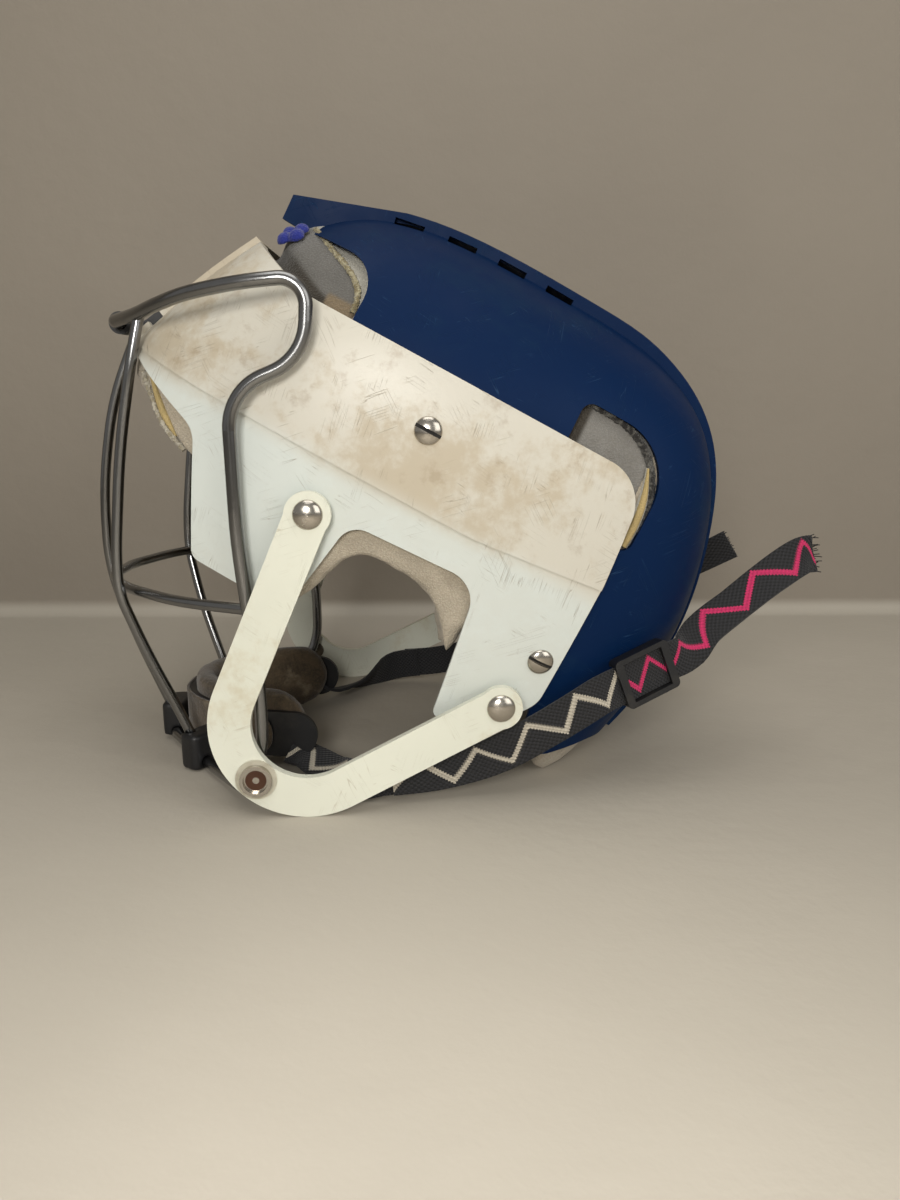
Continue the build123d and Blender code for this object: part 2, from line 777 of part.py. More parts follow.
brow_pad_corners = [
    (-0.72, 0.75, 0), (-0.72, 0.49, 0), (-0.564, 0.49, 0.08), (-0.42, 0.42, 0.05),
    (-0.36, 0.4, 0.03), (-0.3, 0.42, 0.02), (-0.29, 0.75, 0.05),
]
side_pad_corners = [
    (-0.28, 0.56, 0.03), (-0.29, 0.25, 0.03), (-0.156, 0.225, 0.02), (-0.09, 0.38, 0.06),
    (0.04, 0.39, 0.06), (0.108, 0.29, 0.03), (0.13, 0.29, 0.01), (0.118, 0.52, 0.02),
    (-0.16, 0.56, 0.02),
]
crown_pad_corners = [
    (-0.4, 0.855, 0.02), (-0.3, 0.855, 0.04), (-0.278, 0.8, 0.03), (-0.278, 0.735, 0.02),
    (0.07, 0.72, 0.03), (0.1, 1.2, 0), (-0.4, 1.2, 0),
]
rear_pad_corners = [
    (0.2, 0.32, 0.03), (0.36, 0.3, 0.02), (0.62, 0.31, 0), (0.62, 0.9, 0), (0.15, 0.9, 0.03),
    (0.18, 0.6, 0.05),
]
neck_pad_corners = [
    (0.31, 0.24, 0.03), (0.34, 0.125, 0.03), (0.38, 0.1, 0.03), (0.43, 0.2, 0.05),
    (0.5, 0.25, 0.02), (0.5, 0.285, 0.01), (0.31, 0.285, 0.01),
]

bar_hollow = bar_wire + 4 * foam_gap
left_bar_places = [at(*place) for place in side_bar_places]
left_hollow = wire(left_bar_places, bar_hollow, frame_largest_bend)
with BuildPart() as brow_foam:
    add(pad(front_foam_form, brow_pad_corners))
    add(left_hollow, mode=Mode.SUBTRACT)
    add(mirror(left_hollow, about=Plane.XZ), mode=Mode.SUBTRACT)
brow_pad = brow_foam.part
side_pads = pad(front_foam_form, side_pad_corners)
crown_pad = pad(rear_foam_form, crown_pad_corners)
rear_pad = pad(rear_foam_form, rear_pad_corners)
neck_pad = pad(rear_foam_form, neck_pad_corners)

# Liner cloth that shows in the front gap and in the side windows, and its tuft
front_cloth_corners = [
    (-0.58, 0.765, 0), (-0.262, 0.765, 0.02), (-0.24, 0.94, 0.02), (-0.58, 0.94, 0),
]
window_cloth_corners = [
    (0.09, 0.61, 0.02), (0.25, 0.61, 0.02), (0.25, 0.875, 0.02), (0.09, 0.875, 0.02),
]
cloth_inner_form = head_form(foam_outer - cloth_thickness)


def cloth(corners):
    """Thin cloth against the inside of the rear shell, within a side outline."""
    with BuildPart() as sheet:
        add(rear_foam_form)
        add(cloth_inner_form, mode=Mode.SUBTRACT)
        extrude(outline(corners), amount=head_width, both=True, mode=Mode.INTERSECT)
    return sheet.part


front_cloth = cloth(front_cloth_corners)
window_cloth = cloth(window_cloth_corners)
save(front_cloth, "liner_cloth_front")
for side_name, side in sides:
    with BuildPart() as window_sheet:
        add(window_cloth)
        split(bisect_by=Plane.XZ, keep=Keep.TOP if side < 0 else Keep.BOTTOM)
    save(window_sheet.part, "liner_cloth_" + side_name)

tuft_shares = (-0.385, 0.856)
tuft_seat = seat(rear_foam_form, tuft_shares, -1)
with BuildPart() as liner_tuft:
    with Locations(tuft_seat):
        with GridLocations(tuft_lobe_gap, tuft_lobe_gap, 2, 2):
            Sphere(tuft_radius)
    add(rear_foam_form, mode=Mode.SUBTRACT)
save(liner_tuft.part, "liner_tuft")

burr_pocket = burr_radius + foam_gap
with BuildPart() as pad_pockets:
    for spot in rivet_spots:
        with BuildSketch(spot):
            Circle(burr_pocket)
        extrude(amount=-rivet_reach)
    add(run_cut(upper_seats + lower_seats, nut_radius + nut_pocket_gap))
    add(front_cloth)
    add(window_cloth)

for foam, foam_name in ((crown_pad, "crown_pad"), (rear_pad, "rear_pad")):
    with BuildPart() as cut_pad:
        add(foam)
        add(pad_pockets.part, mode=Mode.SUBTRACT)
    save(cut_pad.part, foam_name)

save(brow_pad, "brow_pad")
with BuildPart() as table_cut_pad:
    add(neck_pad)
    with BuildSketch(Plane.XY):
        Rectangle(2 * head_length, 2 * head_length)
    extrude(amount=-head_height, mode=Mode.SUBTRACT)
save(table_cut_pad.part, "neck_pad")

for side_name, side in sides:
    with BuildPart() as side_pad:
        add(side_pads)
        add(pad_pockets.part, mode=Mode.SUBTRACT)
        split(bisect_by=Plane.XZ, keep=Keep.TOP if side < 0 else Keep.BOTTOM)
    save(side_pad.part, "side_pad_" + side_name)

# Straps: places along the near strap, as shares, from the cup to the free end
strap_front_places = [
    (-0.0393, -0.545, -0.1088), (-0.011, -0.553, -0.09), (0.032, -0.72, -0.063),
    (0.072, -0.885, -0.033), (0.108, -0.956, -0.003),
]
strap_rear_places = [
    (0.124, -0.968, 0.013), (0.178, -0.956, 0.057), (0.228, -0.947, 0.11),
    (0.268, -0.961, 0.171), (0.302, -0.975, 0.244), (0.331, -0.98, 0.31),
    (0.358, -0.962, 0.367), (0.3845, -0.921, 0.4045), (0.411, -0.88, 0.442),
    (0.4375, -0.839, 0.4795), (0.464, -0.798, 0.517), (0.499, -0.73, 0.579),
    (0.525, -0.66, 0.656), (0.559, -0.58, 0.743), (0.596, -0.53, 0.819),
]
glide_index = 8
far_tail_index = 14


def strap(points, side):
    """Flat webbing through places, its outer face towards its side."""
    with BuildPart() as band:
        for index in range(len(points)):
            before = points[max(0, index - 1)]
            after = points[min(len(points) - 1, index + 1)]
            along = (after - before).normalized()
            outward = Vector(0, side, 0)
            outward = outward - along * outward.dot(along)
            section = Plane(origin=points[index], x_dir=outward.normalized(), z_dir=along)
            with BuildSketch(section):
                Rectangle(webbing_thickness, webbing_width)
        loft()
    return band.part


def glide_plane(side):
    """The plane of the strap where its adjuster sits, facing outwards."""
    before, centre, after = [
        at(x, -side * y, z) for x, y, z in strap_rear_places[glide_index - 1 : glide_index + 2]
    ]
    along = (after - before).normalized()
    outward = Vector(0, side, 0)
    outward = (outward - along * outward.dot(along)).normalized()
    return Plane(origin=centre, x_dir=along, z_dir=outward)


with BuildPart() as strap_anchors:
    with BuildSketch(SIDE):
        with Locations(side_point(*anchor_shares)):
            Circle(anchor_radius)
    extrude(amount=anchor_stand_share * head_width / 2, both=True)
    add(rear_outer_form, mode=Mode.SUBTRACT)
    add(anchor_shanks.part)
    add(rear_inner_form, mode=Mode.SUBTRACT)

for side_name, side in sides:
    last = len(strap_rear_places) if side_name == "left" else far_tail_index
    front_points = [at(x, -side * y, z) for x, y, z in strap_front_places]
    rear_points = [at(x, -side * y, z) for x, y, z in strap_rear_places[:last]]
    rear_strap = strap(rear_points, side)
    with BuildPart() as front_strap:
        add(strap(front_points, side))
        add(shell_band, mode=Mode.SUBTRACT)
    save(front_strap.part, "chin_strap_front_" + side_name)
    save(rear_strap, "chin_strap_rear_" + side_name)
    with strap_anchors:
        add(rear_strap, mode=Mode.SUBTRACT)

    plane = glide_plane(side)
    glide_width = webbing_width + 2 * (glide_rail + glide_gap)
    room = webbing_thickness / 2 + glide_gap
    with BuildPart() as glide:
        with BuildSketch(plane.offset(-room - glide_thickness)):
            RectangleRounded(glide_length, glide_width, glide_rail)
            Rectangle(
                glide_length - 2 * glide_bar, glide_width - 2 * glide_rail, mode=Mode.SUBTRACT
            )
        extrude(amount=2 * (room + glide_thickness))
        with BuildSketch(plane.offset(-room - glide_thickness)):
            Rectangle(2 * glide_length, glide_width - 2 * glide_rail)
        extrude(amount=2 * room + glide_thickness, mode=Mode.SUBTRACT)
        with BuildSketch(plane.offset(-room)):
            Rectangle(glide_bar, glide_width)
        extrude(amount=-glide_thickness)
    save(glide.part, "tri_glide_" + side_name)

save(strap_anchors.part, "strap_anchors")
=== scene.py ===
import math
import random

import bpy
from mathutils import Matrix, Vector
from mathutils.bvhtree import BVHTree


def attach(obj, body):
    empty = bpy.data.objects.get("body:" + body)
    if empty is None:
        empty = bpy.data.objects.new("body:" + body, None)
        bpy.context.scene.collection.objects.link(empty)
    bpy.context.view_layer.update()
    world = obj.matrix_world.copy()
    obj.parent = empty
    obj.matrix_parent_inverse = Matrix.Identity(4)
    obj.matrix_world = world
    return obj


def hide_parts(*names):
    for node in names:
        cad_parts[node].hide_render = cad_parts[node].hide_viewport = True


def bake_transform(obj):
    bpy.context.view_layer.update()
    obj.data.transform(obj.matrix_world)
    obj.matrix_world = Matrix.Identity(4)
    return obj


bl_info = {
    "name": "Hurling helmet",
    "version": (1, 0, 0),
    "blender": (4, 5, 0),
    "location": "View3D > Sidebar > Helmet",
    "description": "Dresses a hurling helmet: shells, face guard, liner, chin cup and straps",
    "category": "Object",
}

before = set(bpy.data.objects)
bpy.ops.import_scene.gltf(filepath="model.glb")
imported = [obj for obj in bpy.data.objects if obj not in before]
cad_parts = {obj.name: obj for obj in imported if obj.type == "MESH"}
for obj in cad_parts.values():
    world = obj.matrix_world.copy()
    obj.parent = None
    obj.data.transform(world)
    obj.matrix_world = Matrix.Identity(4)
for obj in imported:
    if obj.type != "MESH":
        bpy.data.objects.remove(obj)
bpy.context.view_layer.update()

# The head's own upright frame, which leans back when the helmet rests
HEAD_LENGTH = 0.250
HEAD_HALF_WIDTH = 0.0816
HEAD_HEIGHT = 0.200
REST_TILT = math.radians(28.0)
HEAD_ORIGIN = Vector((-0.051, 0.0, 0.0238))
HEAD_BACK = Vector((math.cos(REST_TILT), 0.0, -math.sin(REST_TILT)))
HEAD_UP = Vector((math.sin(REST_TILT), 0.0, math.cos(REST_TILT)))
SIDES = (("left", -1), ("right", 1))


def head_place(back, across, up):
    """A point of the helmet, as shares of the head's length, half width and height."""
    return (
        HEAD_ORIGIN
        + HEAD_BACK * back * HEAD_LENGTH
        + Vector((0, across * HEAD_HALF_WIDTH, 0))
        + HEAD_UP * up * HEAD_HEIGHT
    )


def head_places(places, side):
    """Points on one side of the helmet, from places given for the wearer's left."""
    return [head_place(back, -side * across, up) for back, across, up in places]


HEAD_MIDDLE = head_place(-0.08, 0.0, 0.45)
CUP_MIDDLE = head_place(0.0, 0.0, -0.05)


class HelmetColours(bpy.types.PropertyGroup):
    """Colours of the helmet's finishes."""

    front_shell: bpy.props.FloatVectorProperty(
        name="Front shell", description="White plastic, slightly yellowed", subtype="COLOR",
        default=(0.64, 0.61, 0.525), size=3,
    )
    rear_shell: bpy.props.FloatVectorProperty(
        name="Rear shell", description="Matt blue plastic", subtype="COLOR",
        default=(0.0012, 0.0150, 0.062), size=3,
    )
    yoke: bpy.props.FloatVectorProperty(
        name="Yokes", description="Ivory plastic of the cheek yokes", subtype="COLOR",
        default=(0.76, 0.765, 0.65), size=3,
    )
    webbing: bpy.props.FloatVectorProperty(
        name="Webbing", description="Black polyester webbing", subtype="COLOR",
        default=(0.006, 0.006, 0.007), size=3,
    )
    zigzag: bpy.props.FloatVectorProperty(
        name="Zigzag", description="Cream zigzag woven into the chin strap", subtype="COLOR",
        default=(0.52, 0.47, 0.38), size=3,
    )
    tail_zigzag: bpy.props.FloatVectorProperty(
        name="Tail zigzag", description="Pink zigzag of the strap's free end", subtype="COLOR",
        default=(0.60, 0.020, 0.12), size=3,
    )
    suede: bpy.props.FloatVectorProperty(
        name="Suede", description="Brushed leather of the chin cup", subtype="COLOR",
        default=(0.070, 0.049, 0.027), size=3,
    )
    liner: bpy.props.FloatVectorProperty(
        name="Liner cloth", description="Grey-white cloth over the foam", subtype="COLOR",
        default=(0.50, 0.44, 0.345), size=3,
    )
    panel_cloth: bpy.props.FloatVectorProperty(
        name="Panel cloth", description="Grey cloth behind the shell's windows", subtype="COLOR",
        default=(0.24, 0.23, 0.21), size=3,
    )
    foam: bpy.props.FloatVectorProperty(
        name="Foam", description="Yellowed foam where the liner is cut", subtype="COLOR",
        default=(0.50, 0.38, 0.17), size=3,
    )


class HelmetSizes(bpy.types.PropertyGroup):
    """Sizes of the pieces that are made here."""

    webbing_width: bpy.props.FloatProperty(
        name="Webbing width", description="Across the straps", default=0.016, unit="LENGTH",
    )
    webbing_thickness: bpy.props.FloatProperty(
        name="Webbing thickness", description="Through the straps", default=0.0016, unit="LENGTH",
    )
    zigzag_length: bpy.props.FloatProperty(
        name="Zigzag length", description="One wave of the woven pattern", default=0.021,
        unit="LENGTH",
    )
    pad_grain: bpy.props.FloatProperty(
        name="Pad grain", description="Mesh size of the foam pads", default=0.004, unit="LENGTH",
    )
    pad_swell: bpy.props.FloatProperty(
        name="Pad swell", description="How far a pad's face may puff out", default=0.005,
        unit="LENGTH",
    )


def colours():
    return bpy.context.scene.helmet_colours


def sizes():
    return bpy.context.scene.helmet_sizes


# Shader groups: masks and heights that several finishes share
def group_node(tree, kind, **values):
    """A node in a tree, with its settings and its inputs' values."""
    node = tree.nodes.new(kind)
    for key, value in values.items():
        if key in node.inputs:
            node.inputs[key].default_value = value
        else:
            setattr(node, key, value)
    return node


def feed(tree, value, socket):
    """Gives a socket a value, which is a number or another socket."""
    if isinstance(value, bpy.types.NodeSocket):
        tree.links.new(value, socket)
    else:
        socket.default_value = value


def lead(tree, output, node, key):
    """Leads an output to a node's input."""
    tree.links.new(output, node.inputs[key])


def calculate(tree, operation, first, second=None):
    """A Math node whose inputs are sockets or numbers; returns its output."""
    node = tree.nodes.new("ShaderNodeMath")
    node.operation = operation
    feed(tree, first, node.inputs[0])
    if second is not None:
        feed(tree, second, node.inputs[1])
    return node.outputs[0]


def times(tree, first, second):
    return calculate(tree, "MULTIPLY", first, second)


def plus(tree, first, second):
    return calculate(tree, "ADD", first, second)


def minus(tree, first, second):
    return calculate(tree, "SUBTRACT", first, second)


def remap(tree, value, low, high, new_low=0.0, new_high=1.0):
    """A value moved smoothly from one range to another."""
    node = group_node(tree, "ShaderNodeMapRange", interpolation_type="SMOOTHSTEP")
    feed(tree, value, node.inputs["Value"])
    feed(tree, low, node.inputs["From Min"])
    feed(tree, high, node.inputs["From Max"])
    feed(tree, new_low, node.inputs["To Min"])
    feed(tree, new_high, node.inputs["To Max"])
    return node.outputs["Result"]


def noise(tree, vector, scale, detail=3.0, roughness=0.55, stretch=(1, 1, 1)):
    """Cloudy noise along a vector, stretched where asked."""
    node = group_node(tree, "ShaderNodeTexNoise", Detail=detail, Roughness=roughness)
    feed(tree, scale, node.inputs["Scale"])
    mapping = group_node(tree, "ShaderNodeMapping", Scale=stretch)
    lead(tree, vector, mapping, "Vector")
    lead(tree, mapping.outputs["Vector"], node, "Vector")
    return node.outputs["Fac"]


def coordinates(tree, vector):
    """The three coordinates of a vector."""
    parts = tree.nodes.new("ShaderNodeSeparateXYZ")
    lead(tree, vector, parts, 0)
    return parts.outputs


def new_group(name, inputs, outputs):
    """An empty shader group with named inputs and outputs."""
    tree = bpy.data.node_groups.new(name, "ShaderNodeTree")
    for socket_name, kind, default in inputs:
        socket = tree.interface.new_socket(socket_name, in_out="INPUT", socket_type=kind)
        if default is not None:
            socket.default_value = default
    for socket_name, kind in outputs:
        tree.interface.new_socket(socket_name, in_out="OUTPUT", socket_type=kind)
    return tree, tree.nodes.new("NodeGroupInput"), tree.nodes.new("NodeGroupOutput")


def make_stain_group():
    """Large soft patches broken up by smaller ones."""
    tree, start, end = new_group(
        "Stains",
        [("Vector", "NodeSocketVector", None), ("Scale", "NodeSocketFloat", 14.0),
         ("Spread", "NodeSocketFloat", 0.5)],
        [("Mask", "NodeSocketFloat")],
    )
    large = noise(tree, start.outputs["Vector"], start.outputs["Scale"], 5.0, 0.65)
    fine = noise(tree, start.outputs["Vector"], 170.0, 4.0, 0.7)
    both = plus(tree, times(tree, large, 0.75), times(tree, fine, 0.25))
    edge = plus(tree, start.outputs["Spread"], 0.13)
    lead(tree, remap(tree, both, start.outputs["Spread"], edge), end, "Mask")
    return tree


# Each run of scratches: its turn in degrees, how close its marks lie, and its shift
SCRATCH_DIRECTIONS = (
    (17.0, 30.0, 0.3), (-34.0, 42.0, 1.7), (71.0, 36.0, 2.9), (-63.0, 26.0, 4.1),
)


def make_scratch_group():
    """Short thin scratches that run in several directions over a surface."""
    tree, start, end = new_group(
        "Scratches",
        [("Vector", "NodeSocketVector", None), ("Amount", "NodeSocketFloat", 0.5)],
        [("Mask", "NodeSocketFloat")],
    )
    marks = None
    for turn, tightness, shift in SCRATCH_DIRECTIONS:
        turned = group_node(tree, "ShaderNodeMapping", Location=(shift, 0.0, shift))
        turned.inputs["Rotation"].default_value = (0.0, math.radians(turn), 0.0)
        lead(tree, start.outputs["Vector"], turned, "Vector")
        streak = noise(tree, turned.outputs["Vector"], tightness, 1.0, 0.4, (0.5, 1.0, 16.0))
        distance = calculate(tree, "ABSOLUTE", minus(tree, streak, 0.5))
        line = remap(tree, distance, 0.0, 0.008, 1.0, 0.0)
        patches = noise(tree, turned.outputs["Vector"], tightness * 1.9, 2.0)
        worn = times(tree, line, remap(tree, patches, 0.56, 0.66))
        marks = worn if marks is None else calculate(tree, "MAXIMUM", marks, worn)
    lead(tree, times(tree, marks, start.outputs["Amount"]), end, "Mask")
    return tree


def make_weave_group():
    """Over-and-under threads, from a vector in metres."""
    tree, start, end = new_group(
        "Weave",
        [("Vector", "NodeSocketVector", None), ("Thread", "NodeSocketFloat", 0.0011)],
        [("Height", "NodeSocketFloat"), ("Shade", "NodeSocketFloat")],
    )
    flat = coordinates(tree, start.outputs["Vector"])
    turns = calculate(tree, "DIVIDE", math.pi, start.outputs["Thread"])
    along = calculate(tree, "SINE", times(tree, flat[0], turns))
    across = calculate(tree, "SINE", times(tree, flat[1], turns))
    height = plus(tree, times(tree, times(tree, along, across), 0.5), 0.5)
    lead(tree, height, end, "Height")
    lead(tree, plus(tree, times(tree, height, 0.4), 0.6), end, "Shade")
    return tree


def make_zigzag_group():
    """A zigzag line woven along a strap, from a vector in metres."""
    tree, start, end = new_group(
        "Zigzag",
        [("Vector", "NodeSocketVector", None), ("Wave", "NodeSocketFloat", 0.021),
         ("Rise", "NodeSocketFloat", 0.0105), ("Line", "NodeSocketFloat", 0.0016),
         ("Width", "NodeSocketFloat", 0.016)],
        [("Mask", "NodeSocketFloat")],
    )
    flat = coordinates(tree, start.outputs["Vector"])
    thread_step = 0.0008
    along = calculate(tree, "SNAP", flat[0], thread_step)
    across = calculate(tree, "SNAP", flat[1], thread_step)
    rise, line = start.outputs["Rise"], start.outputs["Line"]
    half_wave = calculate(tree, "DIVIDE", start.outputs["Wave"], 2.0)
    swing = calculate(tree, "PINGPONG", along, half_wave)
    swing = calculate(tree, "DIVIDE", swing, half_wave)
    margin = calculate(tree, "DIVIDE", minus(tree, start.outputs["Width"], rise), 2.0)
    height = plus(tree, times(tree, swing, rise), margin)
    distance = calculate(tree, "ABSOLUTE", minus(tree, across, height))
    mask = remap(tree, distance, times(tree, line, 0.8), line, 1.0, 0.0)
    lead(tree, mask, end, "Mask")
    return tree


def make_nap_group():
    """Brushed fibres: a mottled mask and a fine height."""
    tree, start, end = new_group(
        "Nap",
        [("Vector", "NodeSocketVector", None), ("Scale", "NodeSocketFloat", 1.0)],
        [("Mask", "NodeSocketFloat"), ("Height", "NodeSocketFloat")],
    )
    scaled = tree.nodes.new("ShaderNodeVectorMath")
    scaled.operation = "SCALE"
    lead(tree, start.outputs["Vector"], scaled, 0)
    lead(tree, start.outputs["Scale"], scaled, "Scale")
    fine = noise(tree, scaled.outputs[0], 900.0, 3.0, 0.7)
    broad = noise(tree, scaled.outputs[0], 75.0, 4.0, 0.6)
    lead(tree, remap(tree, broad, 0.36, 0.66), end, "Mask")
    lead(tree, fine, end, "Height")
    return tree


def finish_material(name, colour, roughness, metallic=0.0):
    """A material with its own Principled BSDF; returns it, its tree and the shader."""
    material = bpy.data.materials.new(name)
    material.use_nodes = True
    tree = material.node_tree
    shader = tree.nodes["Principled BSDF"]
    shader.inputs["Base Color"].default_value = tuple(colour) + (1.0,)
    shader.inputs["Roughness"].default_value = roughness
    shader.inputs["Metallic"].default_value = metallic
    return material, tree, shader


def shared(tree, group_name, vector, **values):
    """A shared shader group placed in a material; returns its outputs."""
    node = tree.nodes.new("ShaderNodeGroup")
    node.node_tree = bpy.data.node_groups[group_name]
    lead(tree, vector, node, "Vector")
    for key, value in values.items():
        node.inputs[key].default_value = value
    return node.outputs


def masked(tree, group_name, vector, **values):
    """The mask that a shared shader group puts out."""
    return shared(tree, group_name, vector, **values)["Mask"]


def cloudy(tree, vector, scale, detail, low=0.3, high=0.7, new_low=0.0, new_high=1.0):
    """A mask of soft clouds."""
    return remap(tree, noise(tree, vector, scale, detail), low, high, new_low, new_high)


def cells(tree, vector, scale):
    """How far each point lies from the middle of the small cell that it is in."""
    node = group_node(tree, "ShaderNodeTexVoronoi", Scale=scale)
    lead(tree, vector, node, "Vector")
    return node.outputs["Distance"]


def mixed(tree, mask, first, second):
    """A colour between two colours, or sockets, by a mask; returns its output."""
    node = tree.nodes.new("ShaderNodeMix")
    node.data_type = "RGBA"
    lead(tree, mask, node, "Factor")
    for index, value in ((6, first), (7, second)):
        if not isinstance(value, bpy.types.NodeSocket):
            value = tuple(value)[:3] + (1.0,)
        feed(tree, value, node.inputs[index])
    return node.outputs[2]


def bumped(tree, shader, height, distance):
    """Leads a height in shares of a distance to a shader's normal."""
    bump = group_node(tree, "ShaderNodeBump", Distance=distance, Strength=1.0)
    lead(tree, height, bump, "Height")
    lead(tree, bump.outputs["Normal"], shader, "Normal")


def object_vector(tree):
    return tree.nodes.new("ShaderNodeTexCoord").outputs["Object"]


def darker(colour, share):
    return tuple(channel * share for channel in tuple(colour)[:3])


def peeled(tree, shader, vector, scratches):
    """A faint orange-peel surface into which the scratches sink."""
    peel = noise(tree, vector, 420.0, 2.0)
    bumped(tree, shader, minus(tree, times(tree, peel, 0.25), scratches), 0.00012)


def shell_plastic(name, colour, dirt_and_shade, scratch, roughness, spread, scratch_amount, shine):
    """Moulded shell plastic with stains, scratches and a faint orange-peel surface."""
    material, tree, shader = finish_material(name, colour, roughness)
    shader.inputs["Specular IOR Level"].default_value = shine
    vector = object_vector(tree)
    stains = masked(tree, "Stains", vector, Scale=16.0, Spread=spread)
    scratches = masked(tree, "Scratches", vector, Amount=scratch_amount)
    base = mixed(tree, cloudy(tree, vector, 9.0, 2.0), colour, darker(colour, 0.90))
    dirty = mixed(tree, times(tree, stains, 0.55), base, dirt_and_shade)
    lead(tree, mixed(tree, scratches, dirty, scratch), shader, "Base Color")
    rough = cloudy(tree, vector, 30.0, 3.0, 0.3, 0.7, roughness - 0.07, roughness + 0.1)
    lead(tree, rough, shader, "Roughness")
    peeled(tree, shader, vector, scratches)
    return material


# Between these heights over the head's foot, the white shell turns to its raised panel
PANEL_STEP_LEVELS = (0.100, 0.112)


def front_shell_plastic():
    """White shell plastic: its raised upper panel is yellowed and stained, the rest is whiter."""
    colour = colours().front_shell
    material, tree, shader = finish_material("White shell plastic", colour, 0.42)
    vector = object_vector(tree)
    place = coordinates(tree, vector)
    leaning = times(tree, place[0], HEAD_UP.x)
    rising = times(tree, place[2], HEAD_UP.z)
    level = minus(tree, plus(tree, leaning, rising), HEAD_ORIGIN.dot(HEAD_UP))
    panel = remap(tree, level, *PANEL_STEP_LEVELS)
    stains = masked(tree, "Stains", vector, Scale=15.0, Spread=0.47)
    spots = masked(tree, "Stains", vector, Scale=70.0, Spread=0.55)
    scratches = masked(tree, "Scratches", vector, Amount=0.6)
    base = mixed(tree, panel, (0.66, 0.70, 0.66), colour)
    share = plus(tree, times(tree, panel, 0.46), 0.07)
    stained = mixed(tree, times(tree, stains, share), base, (0.44, 0.34, 0.20))
    spotted = times(tree, spots, times(tree, panel, 0.35))
    dirty = mixed(tree, spotted, stained, (0.30, 0.21, 0.12))
    lead(tree, mixed(tree, scratches, dirty, (0.30, 0.24, 0.17)), shader, "Base Color")
    lead(tree, remap(tree, stains, 0.0, 1.0, 0.38, 0.55), shader, "Roughness")
    peeled(tree, shader, vector, scratches)
    return material


def drawn_metal(name, colour, roughness, streak):
    """Bright metal with drawing marks and dull spots."""
    material, tree, shader = finish_material(name, colour, roughness, 1.0)
    vector = object_vector(tree)
    marks = noise(tree, vector, 300.0, 3.0, 0.6, streak)
    dull = masked(tree, "Stains", vector, Scale=140.0, Spread=0.58)
    toned = mixed(tree, times(tree, dull, 0.35), colour, darker(colour, 0.5))
    lead(tree, toned, shader, "Base Color")
    rough = remap(tree, marks, 0.3, 0.7, roughness - 0.04, roughness + 0.08)
    lead(tree, rough, shader, "Roughness")
    bumped(tree, shader, marks, 0.00001)
    return material


NICKEL = (0.50, 0.465, 0.41)
ACROSS_DRIVER_SLOT = (0.47, 0.88)


def from_middle(tree, node_name):
    """How far a point lies back from and above the middle of a node's side view."""
    corners = [vertex.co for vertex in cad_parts[node_name].data.vertices]
    place = coordinates(tree, object_vector(tree))
    ways = []
    for axis in (0, 2):
        middle = (min(c[axis] for c in corners) + max(c[axis] for c in corners)) / 2
        ways.append(minus(tree, place[axis], middle))
    return ways


def part_dulled(tree, shader, mask, dull_colour, dull_roughness, dull_metal):
    """Turns polished nickel duller where a mask is set."""
    lead(tree, mixed(tree, mask, NICKEL, dull_colour), shader, "Base Color")
    lead(tree, remap(tree, mask, 0.0, 1.0, 0.2, dull_roughness), shader, "Roughness")
    lead(tree, remap(tree, mask, 0.0, 1.0, 1.0, dull_metal), shader, "Metallic")
    bumped(tree, shader, noise(tree, object_vector(tree), 500.0, 2.0), 0.00002)


def slotted_metal(name, node_name):
    """Nickel screw heads with painted shade in the driver slot."""
    material, tree, shader = finish_material(name, NICKEL, 0.22, 1.0)
    aside, above = from_middle(tree, node_name)
    slot_x, slot_z = ACROSS_DRIVER_SLOT
    across = plus(tree, times(tree, aside, slot_x), times(tree, above, slot_z))
    # The slot is painted near black as the shade inside its recess.
    dirt_and_shade = remap(tree, calculate(tree, "ABSOLUTE", across), 0.00060, 0.00068, 1.0, 0.0)
    part_dulled(tree, shader, dirt_and_shade, (0.010, 0.008, 0.006), 0.7, 0.1)
    return material


def snap_metal():
    """Nickel snap caps with a brown sunk middle and a bright post in it."""
    material, tree, shader = finish_material("Snap cap metal", NICKEL, 0.22, 1.0)
    aside, above = from_middle(tree, "snap_caps")
    squares = plus(tree, times(tree, aside, aside), times(tree, above, above))
    distance = calculate(tree, "SQRT", squares)
    inside_rim = remap(tree, distance, 0.0040, 0.0044, 1.0, 0.0)
    outside_post = remap(tree, distance, 0.0011, 0.0015)
    sunk = times(tree, inside_rim, outside_post)
    part_dulled(tree, shader, sunk, (0.075, 0.030, 0.015), 0.42, 0.35)
    return material


def plain_plastic(name, colour, roughness, dust):
    """Moulded fittings: fine grain, a little dust in it."""
    material, tree, shader = finish_material(name, colour, roughness)
    vector = object_vector(tree)
    stains = masked(tree, "Stains", vector, Scale=60.0, Spread=0.5)
    lead(tree, mixed(tree, times(tree, stains, 0.5), colour, dust), shader, "Base Color")
    bumped(tree, shader, noise(tree, vector, 1400.0, 2.0), 0.00008)
    return material


def clear_plastic():
    """Milky clear plastic of the snap washers and spacers."""
    milky = (0.72, 0.68, 0.55)
    material, tree, shader = finish_material("Clear washer plastic", milky, 0.3)
    cloud = cloudy(tree, object_vector(tree), 200.0, 3.0)
    lead(tree, mixed(tree, cloud, milky, (0.55, 0.50, 0.38)), shader, "Base Color")
    shader.inputs["Transmission Weight"].default_value = 0.35
    return material


